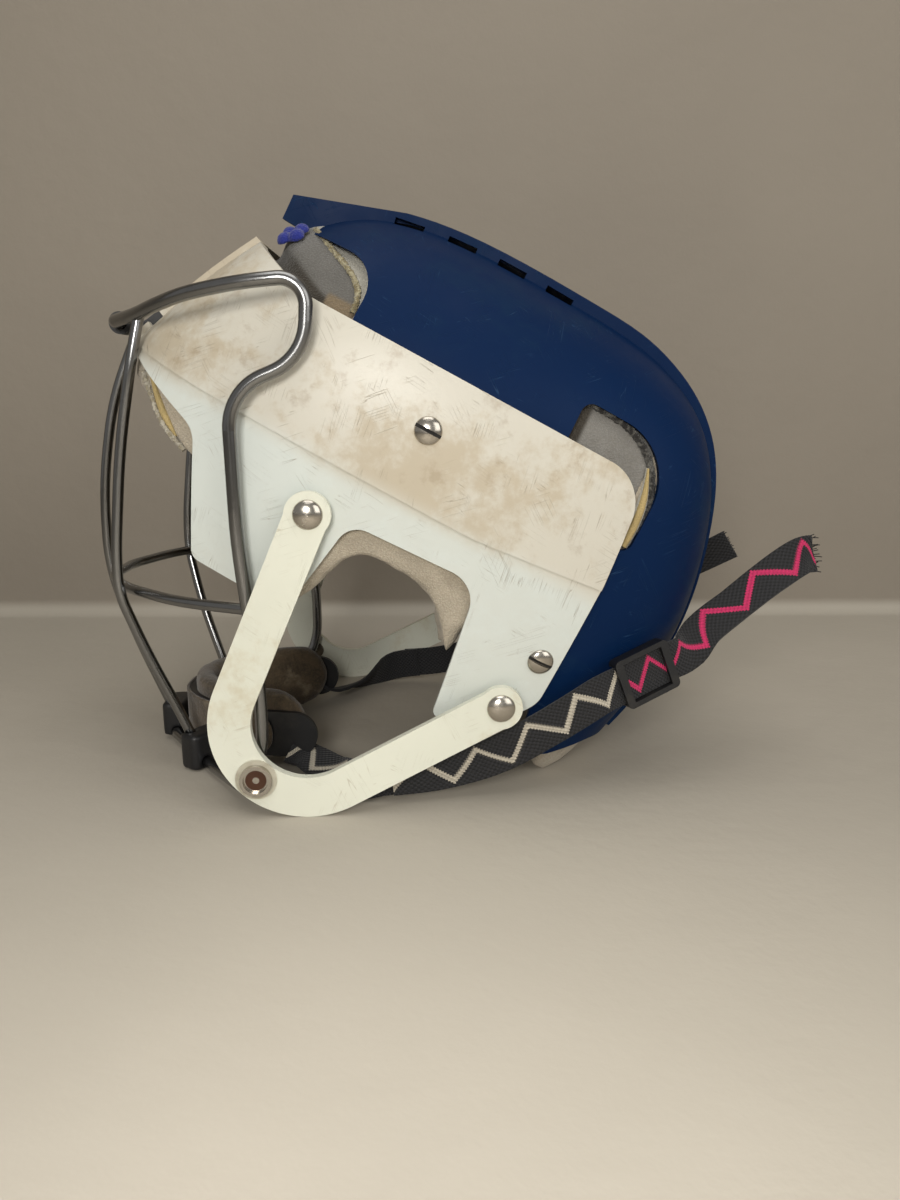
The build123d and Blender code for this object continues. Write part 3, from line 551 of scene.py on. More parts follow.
def suede_leather():
    """Brushed leather with a worn nap, and pale patches that are rubbed nap and painted sheen."""
    colour = colours().suede
    material, tree, shader = finish_material("Suede", colour, 0.95)
    vector = object_vector(tree)
    nap = shared(tree, "Nap", vector, Scale=1.0)
    rubbed_sheen = masked(tree, "Stains", vector, Scale=60.0, Spread=0.54)
    worn = mixed(tree, nap["Mask"], darker(colour, 0.55), darker(colour, 1.3))
    # The pale patches stand for rubbed nap and for its painted sheen.
    pale = mixed(tree, times(tree, rubbed_sheen, 0.75), worn, (0.23, 0.185, 0.12))
    fuzz = remap(tree, nap["Height"], 0.35, 0.75, 0.0, 0.6)
    lead(tree, mixed(tree, fuzz, pale, darker(colour, 1.8)), shader, "Base Color")
    shader.inputs["Sheen Weight"].default_value = 0.3
    bumped(tree, shader, nap["Height"], 0.0005)
    return material


def liner_fabric(name, colour, dirt_and_shade, parts=()):
    """Soft knitted cloth over foam, slightly soiled; parts of it may have other tints."""
    material, tree, shader = finish_material(name, colour, 0.95)
    vector = object_vector(tree)
    nap = shared(tree, "Nap", vector, Scale=1.0)
    stains = masked(tree, "Stains", vector, Scale=30.0, Spread=0.50)
    knit = remap(tree, cells(tree, vector, 1300.0), 0.1, 0.8, 1.0, 0.0)
    base = mixed(tree, nap["Mask"], darker(colour, 0.88), colour)
    for part_name, tint in parts:
        part = group_node(tree, "ShaderNodeAttribute", attribute_name=part_name)
        base = mixed(tree, part.outputs["Fac"], base, tint)
    soiled = mixed(tree, times(tree, stains, 0.35), base, dirt_and_shade)
    knitted = mixed(tree, remap(tree, knit, 0.1, 0.7, 0.22, 0.0), soiled, darker(dirt_and_shade, 0.7))
    lead(tree, knitted, shader, "Base Color")
    shader.inputs["Sheen Weight"].default_value = 0.2
    bumped(tree, shader, plus(tree, knit, nap["Height"]), 0.00022)
    return material


def cut_foam():
    """Open foam with fine pores, yellowed."""
    colour = colours().foam
    material, tree, shader = finish_material("Cut foam", colour, 0.95)
    vector = object_vector(tree)
    pores = cells(tree, vector, 1700.0)
    pits = remap(tree, pores, 0.15, 0.45, 0.5, 0.0)
    pitted = mixed(tree, pits, colour, darker(colour, 0.5))
    cloud = cloudy(tree, vector, 160.0, 3.0, 0.35, 0.65, 0.0, 0.5)
    lead(tree, mixed(tree, cloud, pitted, darker(colour, 0.72)), shader, "Base Color")
    bumped(tree, shader, pores, 0.0003)
    return material


def looped_edging(name, colour, shade):
    """Terry loops along the liner's edge, mottled between two colours."""
    material, tree, shader = finish_material(name, colour, 0.95)
    vector = object_vector(tree)
    patch = cloudy(tree, vector, 420.0, 3.0, 0.42, 0.62)
    lead(tree, mixed(tree, patch, shade, colour), shader, "Base Color")
    shader.inputs["Sheen Weight"].default_value = 0.2
    bumped(tree, shader, cells(tree, vector, 1500.0), 0.0006)
    return material


def shelf_paint():
    """Matt paint of the shelf and of the wall, the wall darker as painted shade; from behind, both
    let the view through.
    """
    material, tree, shader = finish_material("Painted shelf", SHELF_TINTS[0], 0.7)
    vector = object_vector(tree)
    upright = remap(tree, coordinates(tree, vector)[2], 0.004, 0.012)
    cloud = cloudy(tree, vector, 3.0, 3.0)
    shelf = mixed(tree, cloud, *SHELF_TINTS)
    # The wall is darker than the shelf as painted shade.
    wall = mixed(tree, cloud, *SHADED_WALL_TINTS)
    lead(tree, mixed(tree, upright, shelf, wall), shader, "Base Color")
    bumped(tree, shader, noise(tree, vector, 60.0, 4.0), 0.0006)
    through = tree.nodes.new("ShaderNodeBsdfTransparent")
    behind = tree.nodes.new("ShaderNodeNewGeometry")
    either = tree.nodes.new("ShaderNodeMixShader")
    lead(tree, behind.outputs["Backfacing"], either, 0)
    lead(tree, shader.outputs[0], either, 1)
    lead(tree, through.outputs[0], either, 2)
    lead(tree, either.outputs[0], tree.nodes["Material Output"], "Surface")
    return material


def webbing_fabric(name, line_colour):
    """Black woven webbing with a zigzag, on the strap's own flat map in metres."""
    colour = colours().webbing
    material, tree, shader = finish_material(name, colour, 0.8)
    flat = tree.nodes.new("ShaderNodeUVMap")
    flat.uv_map = "UVMap"
    vector = flat.outputs["UV"]
    weave = shared(tree, "Weave", vector, Thread=0.0010)
    woven = remap(tree, weave["Height"], 0.1, 0.8)
    final = mixed(tree, woven, darker(colour, 0.4), darker(colour, 2.6))
    if line_colour is not None:
        zigzag = masked(
            tree, "Zigzag", vector, Wave=sizes().zigzag_length, Width=sizes().webbing_width,
        )
        thread = mixed(tree, weave["Shade"], darker(line_colour, 0.35), line_colour)
        final = mixed(tree, zigzag, final, thread)
    lead(tree, final, shader, "Base Color")
    shader.inputs["Sheen Weight"].default_value = 0.1
    bumped(tree, shader, weave["Height"], 0.0004)
    return material


def dress(node_names, material):
    """Gives CAD nodes a finish, through their objects' own slots."""
    for node_name in node_names:
        for material_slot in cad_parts[node_name].material_slots:
            material_slot.material = material


# How close two corners of a CAD mesh lie when they are the same one
DOUBLES = 0.00001


# Making of the soft pieces
def copy_of(node_name, piece_name):
    """A loose copy of a CAD node's mesh, merged and facing outwards."""
    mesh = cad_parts[node_name].data.copy()
    piece = bpy.data.objects.new(piece_name, mesh)
    mesh.name = piece_name
    bpy.context.scene.collection.objects.link(piece)
    make_active(piece)
    bpy.ops.mesh.customdata_custom_splitnormals_clear()
    bpy.ops.object.mode_set(mode="EDIT")
    bpy.ops.mesh.select_all(action="SELECT")
    bpy.ops.mesh.remove_doubles(threshold=DOUBLES)
    bpy.ops.mesh.normals_make_consistent(inside=False)
    bpy.ops.object.mode_set(mode="OBJECT")
    mesh.materials.clear()
    return piece


def make_active(piece):
    bpy.ops.object.select_all(action="DESELECT")
    piece.select_set(True)
    bpy.context.view_layer.objects.active = piece


def apply_modifier(piece, kind, **settings):
    """Adds a modifier with its settings and applies it."""
    make_active(piece)
    modifier = piece.modifiers.new(kind.title(), kind)
    for key, value in settings.items():
        setattr(modifier, key, value)
    bpy.ops.object.modifier_apply(modifier=modifier.name)


PAD_PRESSURE = 4.0
SWELL_FRAMES = 20


def swell(piece, farthest):
    """Puffs a closed piece with cloth under pressure, no point further than farthest."""
    rest = [vertex.co.copy() for vertex in piece.data.vertices]
    cloth = piece.modifiers.new("Swell", "CLOTH")
    cloth.settings.use_pressure = True
    cloth.settings.uniform_pressure_force = PAD_PRESSURE
    cloth.settings.effector_weights.gravity = 0.0
    cloth.point_cache.frame_start = 1
    cloth.point_cache.frame_end = SWELL_FRAMES
    scene = bpy.context.scene
    for step in range(1, SWELL_FRAMES + 1):
        scene.frame_set(step)
    shaped = piece.evaluated_get(bpy.context.evaluated_depsgraph_get()).data
    moved = [vertex.co.copy() for vertex in shaped.vertices]
    piece.modifiers.remove(cloth)
    scene.frame_set(1)
    for vertex, start, end in zip(piece.data.vertices, rest, moved):
        shift = end - start
        if shift.length > farthest:
            shift = shift * (farthest / shift.length)
        vertex.co = start + shift
    piece.data.update()


def keep_inside(piece, node_name, middle):
    """Keeps a pad's outer side within its CAD solid, clear of what backs it."""
    group = piece.vertex_groups.new(name="backed")
    for vertex in piece.data.vertices:
        outward = (vertex.co - middle).normalized()
        if vertex.normal.dot(outward) > -0.35:
            group.add([vertex.index], 1.0, "REPLACE")
    limit = copy_of(node_name, "limit")
    apply_modifier(
        piece, "SHRINKWRAP", target=limit, wrap_method="NEAREST_SURFACEPOINT",
        wrap_mode="INSIDE", offset=0.0002, vertex_group="backed",
    )
    bpy.data.objects.remove(limit)
    piece.vertex_groups.clear()


def rounded_copy(node_name, piece_name, grain, rounding):
    """A copy of a CAD node in even faces, with its edges rounded."""
    piece = copy_of(node_name, piece_name)
    apply_modifier(piece, "REMESH", mode="VOXEL", voxel_size=grain)
    apply_modifier(piece, "SMOOTH", factor=0.5, iterations=rounding)
    return piece


def pad_from(node_name, body, piece_name, material, middle, grain, farthest):
    """A soft pad in the space of its CAD solid, with rounded edges and a puffed inner face."""
    piece = rounded_copy(node_name, piece_name, grain, 4)
    swell(piece, farthest)
    apply_modifier(piece, "SMOOTH", factor=0.5, iterations=2)
    keep_inside(piece, node_name, middle)
    apply_modifier(piece, "SUBSURF", levels=1, render_levels=1)
    make_active(piece)
    bpy.ops.object.shade_smooth()
    piece.data.materials.append(material)
    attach(piece, body)
    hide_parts(node_name)


def skin_from(node_name, body, piece_name, material, grain, rounding=3):
    """A thin soft piece in the space of its CAD solid, with its edges rounded."""
    piece = rounded_copy(node_name, piece_name, grain, rounding)
    make_active(piece)
    bpy.ops.object.shade_smooth()
    piece.data.materials.append(material)
    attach(piece, body)
    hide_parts(node_name)
    return piece


def head_shares(point):
    """The shares back, across and up at which a point lies on the head."""
    away = point - HEAD_ORIGIN
    back = away.dot(HEAD_BACK) / HEAD_LENGTH
    up = away.dot(HEAD_UP) / HEAD_HEIGHT
    return back, point.y / HEAD_HALF_WIDTH, up


def eased(value, low, high):
    """Goes smoothly from 0 at low to 1 at high."""
    share = min(max((value - low) / (high - low), 0.0), 1.0)
    return share * share * (3.0 - 2.0 * share)


FOREHEAD_PUFF = 0.0055


def shell_edge_up(back, at_front):
    """How high a line beside the white shell's top edge runs, from its height in front."""
    return at_front - 0.425 * (back + 0.54)


def puffed(point):
    """Where the padding over the forehead pushes a point of the front cloth."""
    back, across, up = head_shares(point)
    foot = shell_edge_up(back, 0.865)
    rise = eased(up, foot, foot + 0.045)
    rise *= eased(-back, 0.32, 0.40) * (1.0 - eased(abs(across), 0.68, 0.86))
    return point + (point - HEAD_MIDDLE).normalized() * FOREHEAD_PUFF * rise


def gap_edge_back(up):
    """How far back the loops of the front gap run at a height."""
    top_back, top_up = GAP_EDGE_PLACES[0]
    if up >= top_up:
        return top_back - 8.0 * (up - top_up)
    for (back, high), (further, low) in zip(GAP_EDGE_PLACES, GAP_EDGE_PLACES[1:]):
        if up >= low:
            return back + (further - back) * (high - up) / (high - low)
    return GAP_EDGE_PLACES[-1][0]


def lay_out_cloth(sheet, in_front):
    """Marks the parts of a liner sheet: pale cloth, a painted shadow along the shell's edge, and
    cut foam, tinted darker as painted shade.
    """
    marks = {"pale": [], "dim": [], "cut": []}
    for vertex in sheet.data.vertices:
        back, across, up = head_shares(vertex.co)
        pale, dim, cut = 0.0, 0.0, 0.0
        if in_front:
            edge = gap_edge_back(up)
            # Below this line the front cloth gets a painted shadow of the white shell's edge.
            shaded = shell_edge_up(back, 0.889)
            pale = eased(back, edge - 0.003, edge + 0.003)
            dim = 1.0 - eased(up, shaded - 0.004, shaded + 0.008)
            cut = (1.0 - eased(up, 0.800, 0.808)) * eased(back, -0.314, -0.308)
        else:
            # On the window sheets a painted shadow lies along the window's front edge.
            dim = 1.0 - eased(back, 0.122, 0.130)
        for key, value in (("pale", pale), ("dim", dim), ("cut", cut)):
            marks[key].append(value)
    for key, values in marks.items():
        attribute = sheet.data.attributes.new(key, "FLOAT", "POINT")
        attribute.data.foreach_set("value", values)


def smooth_point(points, share):
    """A point and its direction on a smooth line through places, by share of their count."""
    place = min(max(share, 0.0), 1.0) * (len(points) - 1)
    index = min(int(place), len(points) - 2)
    step = place - index
    before = points[max(index - 1, 0)]
    first, second = points[index], points[index + 1]
    after = points[min(index + 2, len(points) - 1)]
    first_slope = (second - before) * 0.5
    second_slope = (after - first) * 0.5
    square, cube = step * step, step * step * step
    point = (
        first * (2 * cube - 3 * square + 1) + first_slope * (cube - 2 * square + step)
        + second * (3 * square - 2 * cube) + second_slope * (cube - square)
    )
    slope = (
        (first - second) * (6 * square - 6 * step)
        + first_slope * (3 * square - 4 * step + 1) + second_slope * (3 * square - 2 * step)
    )
    return point, slope.normalized()


def on_piece(node_name, side_view, side):
    """The places on a CAD node's outer side at points of the helmet's side view."""
    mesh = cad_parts[node_name].data
    faces = BVHTree.FromPolygons(
        [vertex.co for vertex in mesh.vertices], [face.vertices[:] for face in mesh.polygons],
    )
    outside = Vector((0.0, side * 0.2, 0.0))
    places = []
    for back, up in side_view:
        start = head_place(back, 0.0, up) + outside
        place = faces.ray_cast(start, Vector((0.0, -side, 0.0)))[0]
        if place is None:
            raise RuntimeError("no surface of %s at %.3f, %.3f" % (node_name, back, up))
        places.append(place)
    return places


def round_cord(piece_name, points, radius, shares=None, roundness=3):
    """A round cord laid through places as one smooth tube, thinner by shares where given."""
    bpy.ops.object.select_all(action="DESELECT")
    bpy.ops.curve.primitive_nurbs_path_add()
    cord = bpy.context.object
    cord.name = piece_name
    spline = cord.data.splines[0]
    if len(points) > len(spline.points):
        spline.points.add(len(points) - len(spline.points))
    for index, (place, point) in enumerate(zip(spline.points, points)):
        place.co = tuple(point) + (1.0,)
        place.radius = shares[index] if shares else 1.0
    spline.order_u = 3
    spline.use_endpoint_u = True
    spline.resolution_u = 8
    cord.data.bevel_depth = radius
    cord.data.bevel_resolution = roundness
    cord.data.use_fill_caps = True
    bpy.ops.object.convert(target="MESH")
    cord.data.name = piece_name
    bpy.ops.object.shade_smooth()
    return cord


LOOP_SIZE = 0.0013
LOOP_HEIGHT = 0.0014


def roughen(cord):
    """Raises terry loops all over a cord."""
    loops = bpy.data.textures.new(cord.name + "_loops", "CLOUDS")
    loops.noise_scale = LOOP_SIZE
    apply_modifier(cord, "SUBSURF", levels=1, render_levels=1)
    apply_modifier(
        cord, "DISPLACE", texture=loops, texture_coords="LOCAL", strength=LOOP_HEIGHT,
        mid_level=0.5,
    )


def path_length(points):
    return sum((after - before).length for before, after in zip(points, points[1:]))


def strap_ways(along, side, turn):
    """The ways out of and across a strap that runs along, turned about its run by degrees."""
    outward = Vector((0.0, side, 0.0))
    outward = (outward - along * outward.dot(along)).normalized()
    turned = Matrix.Rotation(math.radians(turn) * side, 3, along)
    return outward, turned @ (along.cross(outward) * side)


def webbing_strip(piece_name, points, side, turns):
    """A woven strap laid through places and turned at them, with a flat map in metres."""
    width = sizes().webbing_width
    length = path_length(points)
    bpy.ops.object.select_all(action="DESELECT")
    bpy.ops.mesh.primitive_grid_add(
        x_subdivisions=6 * (len(points) - 1), y_subdivisions=8, size=1.0, calc_uvs=True,
    )
    strip = bpy.context.object
    strip.name = piece_name
    strip.data.name = piece_name
    for item in strip.data.uv_layers.active.data:
        item.uv = (item.uv[0] * length, item.uv[1] * width)
    for vertex in strip.data.vertices:
        share = vertex.co.x + 0.5
        point, along = smooth_point(points, share)
        place = min(max(share, 0.0), 1.0) * (len(points) - 1)
        index = min(int(place), len(points) - 2)
        turn = turns[index] + (turns[index + 1] - turns[index]) * (place - index)
        vertex.co = point + strap_ways(along, side, turn)[1] * vertex.co.y * width
    strip.data.update()
    apply_modifier(strip, "SOLIDIFY", thickness=sizes().webbing_thickness, offset=0.0)
    apply_modifier(strip, "BEVEL", width=0.0003, segments=2, limit_method="ANGLE")
    make_active(strip)
    bpy.ops.object.mode_set(mode="EDIT")
    bpy.ops.mesh.select_all(action="SELECT")
    bpy.ops.mesh.normals_make_consistent(inside=False)
    bpy.ops.object.mode_set(mode="OBJECT")
    bpy.ops.object.shade_smooth_by_angle(angle=math.radians(50))
    return strip


YARN_COUNT = 22
YARN_RADIUS = 0.0002


def frayed_end(piece_name, points, side, turn, longest):
    """Loose yarn ends along a strap's cut end."""
    end, along = smooth_point(points, 1.0)
    outward, across = strap_ways(along, side, turn)
    chance = random.Random(7)
    yarns = []
    for index in range(YARN_COUNT):
        reach = chance.uniform(0.3, 1.0) * longest
        lean = chance.uniform(-0.5, 0.5)
        lift = chance.uniform(-0.5, 0.5)
        share = (index / (YARN_COUNT - 1) - 0.5) * 0.96
        foot = end + across * sizes().webbing_width * share - along * 0.0015
        path = [
            foot + along * reach * step * 1.35 + across * reach * lean * step * step
            + outward * reach * lift * step * step
            for step in (0.0, 0.3, 0.6, 0.85, 1.0)
        ]
        yarns.append(round_cord("yarn", path, YARN_RADIUS, roundness=0))
    bpy.ops.object.select_all(action="DESELECT")
    for yarn in yarns:
        yarn.select_set(True)
    bpy.context.view_layer.objects.active = yarns[0]
    bpy.ops.object.join()
    yarns[0].name = piece_name
    yarns[0].data.name = piece_name
    return yarns[0]


FRONT_STRAP_PLACES = (
    (-0.0393, -0.547, -0.1028), (-0.0041, -0.558, -0.0998), (0.0393, -0.72, -0.0765),
    (0.0758, -0.885, -0.0418), (0.108, -0.948, -0.003), (0.148, -0.942, 0.033),
)
FRONT_STRAP_TURNS = (60.0, 72.0, 66.0, 32.0, 0.0, 0.0)
REAR_STRAP_PLACES = (
    (0.124, -0.968, 0.013), (0.178, -0.956, 0.057), (0.228, -0.947, 0.11),
    (0.268, -0.961, 0.171), (0.302, -0.975, 0.244), (0.331, -0.98, 0.31),
    (0.358, -0.962, 0.367), (0.3845, -0.921, 0.4045), (0.411, -0.88, 0.442),
    (0.4375, -0.839, 0.4795), (0.464, -0.798, 0.517),
)
NEAR_TAIL_PLACES = (
    (0.478, -0.72, 0.572), (0.5124, -0.637, 0.6465), (0.5456, -0.582, 0.7265),
    (0.5788, -0.539, 0.7965), (0.598, -0.53, 0.817),
)
NEAR_TAIL_TURNS = (42.0, 48.0, 40.0, 18.0, 12.0)
FAR_TAIL_PLACES = ((0.505, -0.75, 0.57), (0.556, -0.70, 0.655), (0.6, -0.60, 0.752))
FAR_TAIL_TURNS = (10.0, 4.0, 0.0)
# The tri-glide's place in the rear run, and where the pink end begins just before it
GLIDE_PLACE = 8
TAIL_START = GLIDE_PLACE - 0.95
# The longest loose yarn at the near and the far end
YARN_LENGTHS = (0.0042, 0.0022)

# The liner's edges in the side view: loops round the front gap and round each window,
# the rolled cloth with its cut foam, and the foam along the brow
GAP_EDGE_PLACES = (
    (-0.3768, 0.887), (-0.356, 0.8815), (-0.3372, 0.8755), (-0.3232, 0.8705),
    (-0.3088, 0.8635), (-0.2932, 0.8535), (-0.2808, 0.842), (-0.272, 0.8305),
    (-0.2655, 0.814), (-0.2645, 0.79),
)
WINDOW_EDGE_PLACES = (
    (0.113, -0.833, 0.857), (0.136, -0.826, 0.858), (0.16, -0.818, 0.8585),
    (0.2065, -0.8105, 0.8495), (0.2455, -0.8275, 0.8175), (0.272, -0.8416, 0.7685),
    (0.281, -0.87, 0.71), (0.281, -0.8765, 0.68),
)
FOAM_EDGE_PLACES = (
    (0.247, -0.837, 0.803), (0.259, -0.8534, 0.768), (0.2655, -0.8741, 0.733),
    (0.2685, -0.8826, 0.70), (0.2695, -0.8873, 0.672), (0.2685, -0.8925, 0.648),
)
FOAM_EDGE_SHARES = (0.25, 0.6, 0.9, 1.0, 1.0, 0.95)
# How far the cut foam stands out of its rolled cloth
FOAM_RAISE = 0.0012
BROW_FOAM_PLACES = (
    (-0.5089, 0.5082), (-0.4918, 0.4938), (-0.4745, 0.4755), (-0.4566, 0.4578),
    (-0.445, 0.4487), (-0.4336, 0.4394), (-0.421, 0.431),
)
BROW_FOAM_SHARES = (0.4, 0.7, 1.0, 1.1, 1.0, 0.7, 0.3)
BROW_LOOP_PLACES = (
    (-0.5196, 0.5013), (-0.505, 0.4893), (-0.4917, 0.4767), (-0.4807, 0.467),
    (-0.4686, 0.4539), (-0.4569, 0.4448), (-0.4453, 0.4357), (-0.4261, 0.4253),
    (-0.4002, 0.4153),
)

# Each cloth laid flat with its hem, and how far the tuft hangs from its solid
FRONT_CLOTH_FLAT = (0.175, 0.0485)
WINDOW_CLOTH_FLAT = (0.043, 0.056)
TUFT_SHIFT = Vector((-0.0042, -0.0005, 0.0052))

# The stage: the floor's edge, how far back the wall stands, its height and the bend at its
# foot, the shelf's and the wall's two tints, the wall's darker as painted shade, and each
# lamp's place, aim, width, power, spread in degrees and tint
FLOOR_SIZE = 6.0
WALL_BACK = 0.24
WALL_HEIGHT = 3.0
WALL_BEND = 0.012
SHELF_TINTS = ((0.45, 0.41, 0.345), (0.40, 0.365, 0.305))
SHADED_WALL_TINTS = ((0.30, 0.262, 0.212), (0.27, 0.235, 0.19))
HELMET_AIM = (0.0, 0.0, 0.12)
LAMPS = (
    ("key_lamp", (-0.12, -0.85, 0.38), HELMET_AIM, 0.22, 3.6, 180, (1.0, 0.975, 0.93)),
    ("fill_lamp", (0.75, -0.75, 0.55), HELMET_AIM, 0.70, 3.1, 180, (1.0, 0.98, 0.94)),
    ("top_lamp", (0.0, -0.20, 1.20), HELMET_AIM, 0.80, 4.0, 180, (1.0, 0.98, 0.94)),
    ("front_lamp", (0.0, -0.46, 0.42), (0.0, -0.32, 0.0), 0.30, 0.22, 45, (1.0, 0.98, 0.95)),
)
ROOM_TINT = (1.0, 0.98, 0.94, 1.0)
ROOM_STRENGTH = 0.29
CAMERA_PLACE = (-0.0024, -0.4226, 0.1682)
CAMERA_TURN = (math.radians(76.6), 0.0, math.radians(-0.64))
CAMERA_LENS = 27.03


class HELMET_OT_stage(bpy.types.Operator):
    """Add the floor, the wall behind it, the lamps and the camera."""

    bl_idname = "helmet.stage"
    bl_label = "Stage"

    def execute(self, context):
        scene = context.scene
        scene.view_settings.view_transform = "Standard"
        bpy.ops.object.select_all(action="DESELECT")
        middle = WALL_BACK - FLOOR_SIZE / 2
        bpy.ops.mesh.primitive_plane_add(size=FLOOR_SIZE, location=(0.0, middle, 0.0))
        stage = context.object
        stage.name = "floor_and_wall"
        bpy.ops.object.mode_set(mode="EDIT")
        bpy.ops.mesh.select_mode(type="EDGE")
        bpy.ops.mesh.select_all(action="DESELECT")
        bpy.ops.object.mode_set(mode="OBJECT")
        for edge in stage.data.edges:
            ends = [stage.data.vertices[index].co.y for index in edge.vertices]
            edge.select = min(ends) > 0
        bpy.ops.object.mode_set(mode="EDIT")
        rise = (0.0, 0.0, WALL_HEIGHT)
        bpy.ops.mesh.extrude_region_move(TRANSFORM_OT_translate={"value": rise})
        bpy.ops.object.mode_set(mode="OBJECT")
        apply_modifier(stage, "BEVEL", width=WALL_BEND, segments=6, limit_method="ANGLE")
        bpy.ops.object.transform_apply(location=True, rotation=False, scale=False)
        bpy.ops.object.shade_smooth()
        stage.data.materials.append(shelf_paint())

        for lamp_name, place, aim, width, power, spread, tint in LAMPS:
            bpy.ops.object.light_add(type="AREA", location=place)
            lamp = context.object
            lamp.name = lamp_name
            lamp.data.size = width
            lamp.data.energy = power
            lamp.data.spread = math.radians(spread)
            lamp.data.color = tint
            way = Vector(aim) - Vector(place)
            lamp.rotation_euler = way.to_track_quat("-Z", "Y").to_euler()

        world = bpy.data.worlds.new("Room")
        world.use_nodes = True
        background = world.node_tree.nodes["Background"]
        background.inputs["Color"].default_value = ROOM_TINT
        background.inputs["Strength"].default_value = ROOM_STRENGTH
        scene.world = world

        camera_data = bpy.data.cameras.new("camera")
        camera = bpy.data.objects.new("camera", camera_data)
        scene.collection.objects.link(camera)
        camera.location = CAMERA_PLACE
        camera.rotation_euler = CAMERA_TURN
        camera_data.lens = CAMERA_LENS
        camera_data.sensor_width = 36.0
        camera_data.clip_start = 0.01
        scene.camera = camera
        return {"FINISHED"}


class HELMET_OT_shells(bpy.types.Operator):
    """Give the two shells and the cheek yokes their plastics."""

    bl_idname = "helmet.shells"
    bl_label = "Shells and yokes"

    def execute(self, context):
        dress(["front_shell"], front_shell_plastic())
        dress(["rear_shell"], shell_plastic(
            "Blue shell plastic", colours().rear_shell, dirt_and_shade=(0.004, 0.022, 0.062),
            scratch=(0.020, 0.060, 0.14), roughness=0.50, spread=0.50, scratch_amount=0.6,
            shine=0.10,
        ))
        dress(["yoke_left", "yoke_right"], shell_plastic(
            "Ivory yoke plastic", colours().yoke, dirt_and_shade=(0.54, 0.47, 0.32),
            scratch=(0.44, 0.38, 0.27), roughness=0.36, spread=0.55, scratch_amount=0.5,
            shine=0.4,
        ))
        return {"FINISHED"}


class HELMET_OT_fasteners(bpy.types.Operator):
    """Give screws, nuts, rivets and snaps their metal and clear plastic."""

    bl_idname = "helmet.fasteners"
    bl_label = "Fasteners"

    def execute(self, context):
        nickel = drawn_metal("Nickel plate", NICKEL, roughness=0.2, streak=(1, 1, 1))
        dress(["upper_nuts", "lower_nuts", "yoke_rivets", "rivet_burrs", "snap_studs",
               "clip_screws", "strap_anchors"], nickel)
        for node_name in ("upper_screws", "lower_screws"):
            finish_name = "Nickel " + node_name.replace("_", " ")
            dress([node_name], slotted_metal(finish_name, node_name))
        dress(["snap_caps"], snap_metal())
        dress(["snap_washers", "yoke_spacers"], clear_plastic())
        return {"FINISHED"}


class HELMET_OT_guard(bpy.types.Operator):
    """Give the face guard its steel, and its clips and sleeves their plastic."""

    bl_idname = "helmet.guard"
    bl_label = "Face guard"

    def execute(self, context):
        # The wire's steel colour is darkened as a painted reflection of a dark room.
        steel = drawn_metal(
            "Drawn steel wire", (0.25, 0.25, 0.25), roughness=0.2, streak=(0.2, 0.2, 0.05),
        )
        dress(["cage_frame_wire", "cage_centre_bar", "cage_left_bar", "cage_right_bar",
               "cage_cross_bar"], steel)
        black = plain_plastic(
            "Black moulded plastic", (0.009, 0.009, 0.010), roughness=0.42,
            dust=(0.030, 0.027, 0.023),
        )
        dress(["cage_clip_left", "cage_clip_right", "chin_cup_shell", "chin_cup_sleeves",
               "tri_glide_left", "tri_glide_right"], black)
        skin_from(
            "chin_cup_sleeves", "cage", "bar_sleeves", black, 0.0009,
            rounding=14,
        )
        return {"FINISHED"}


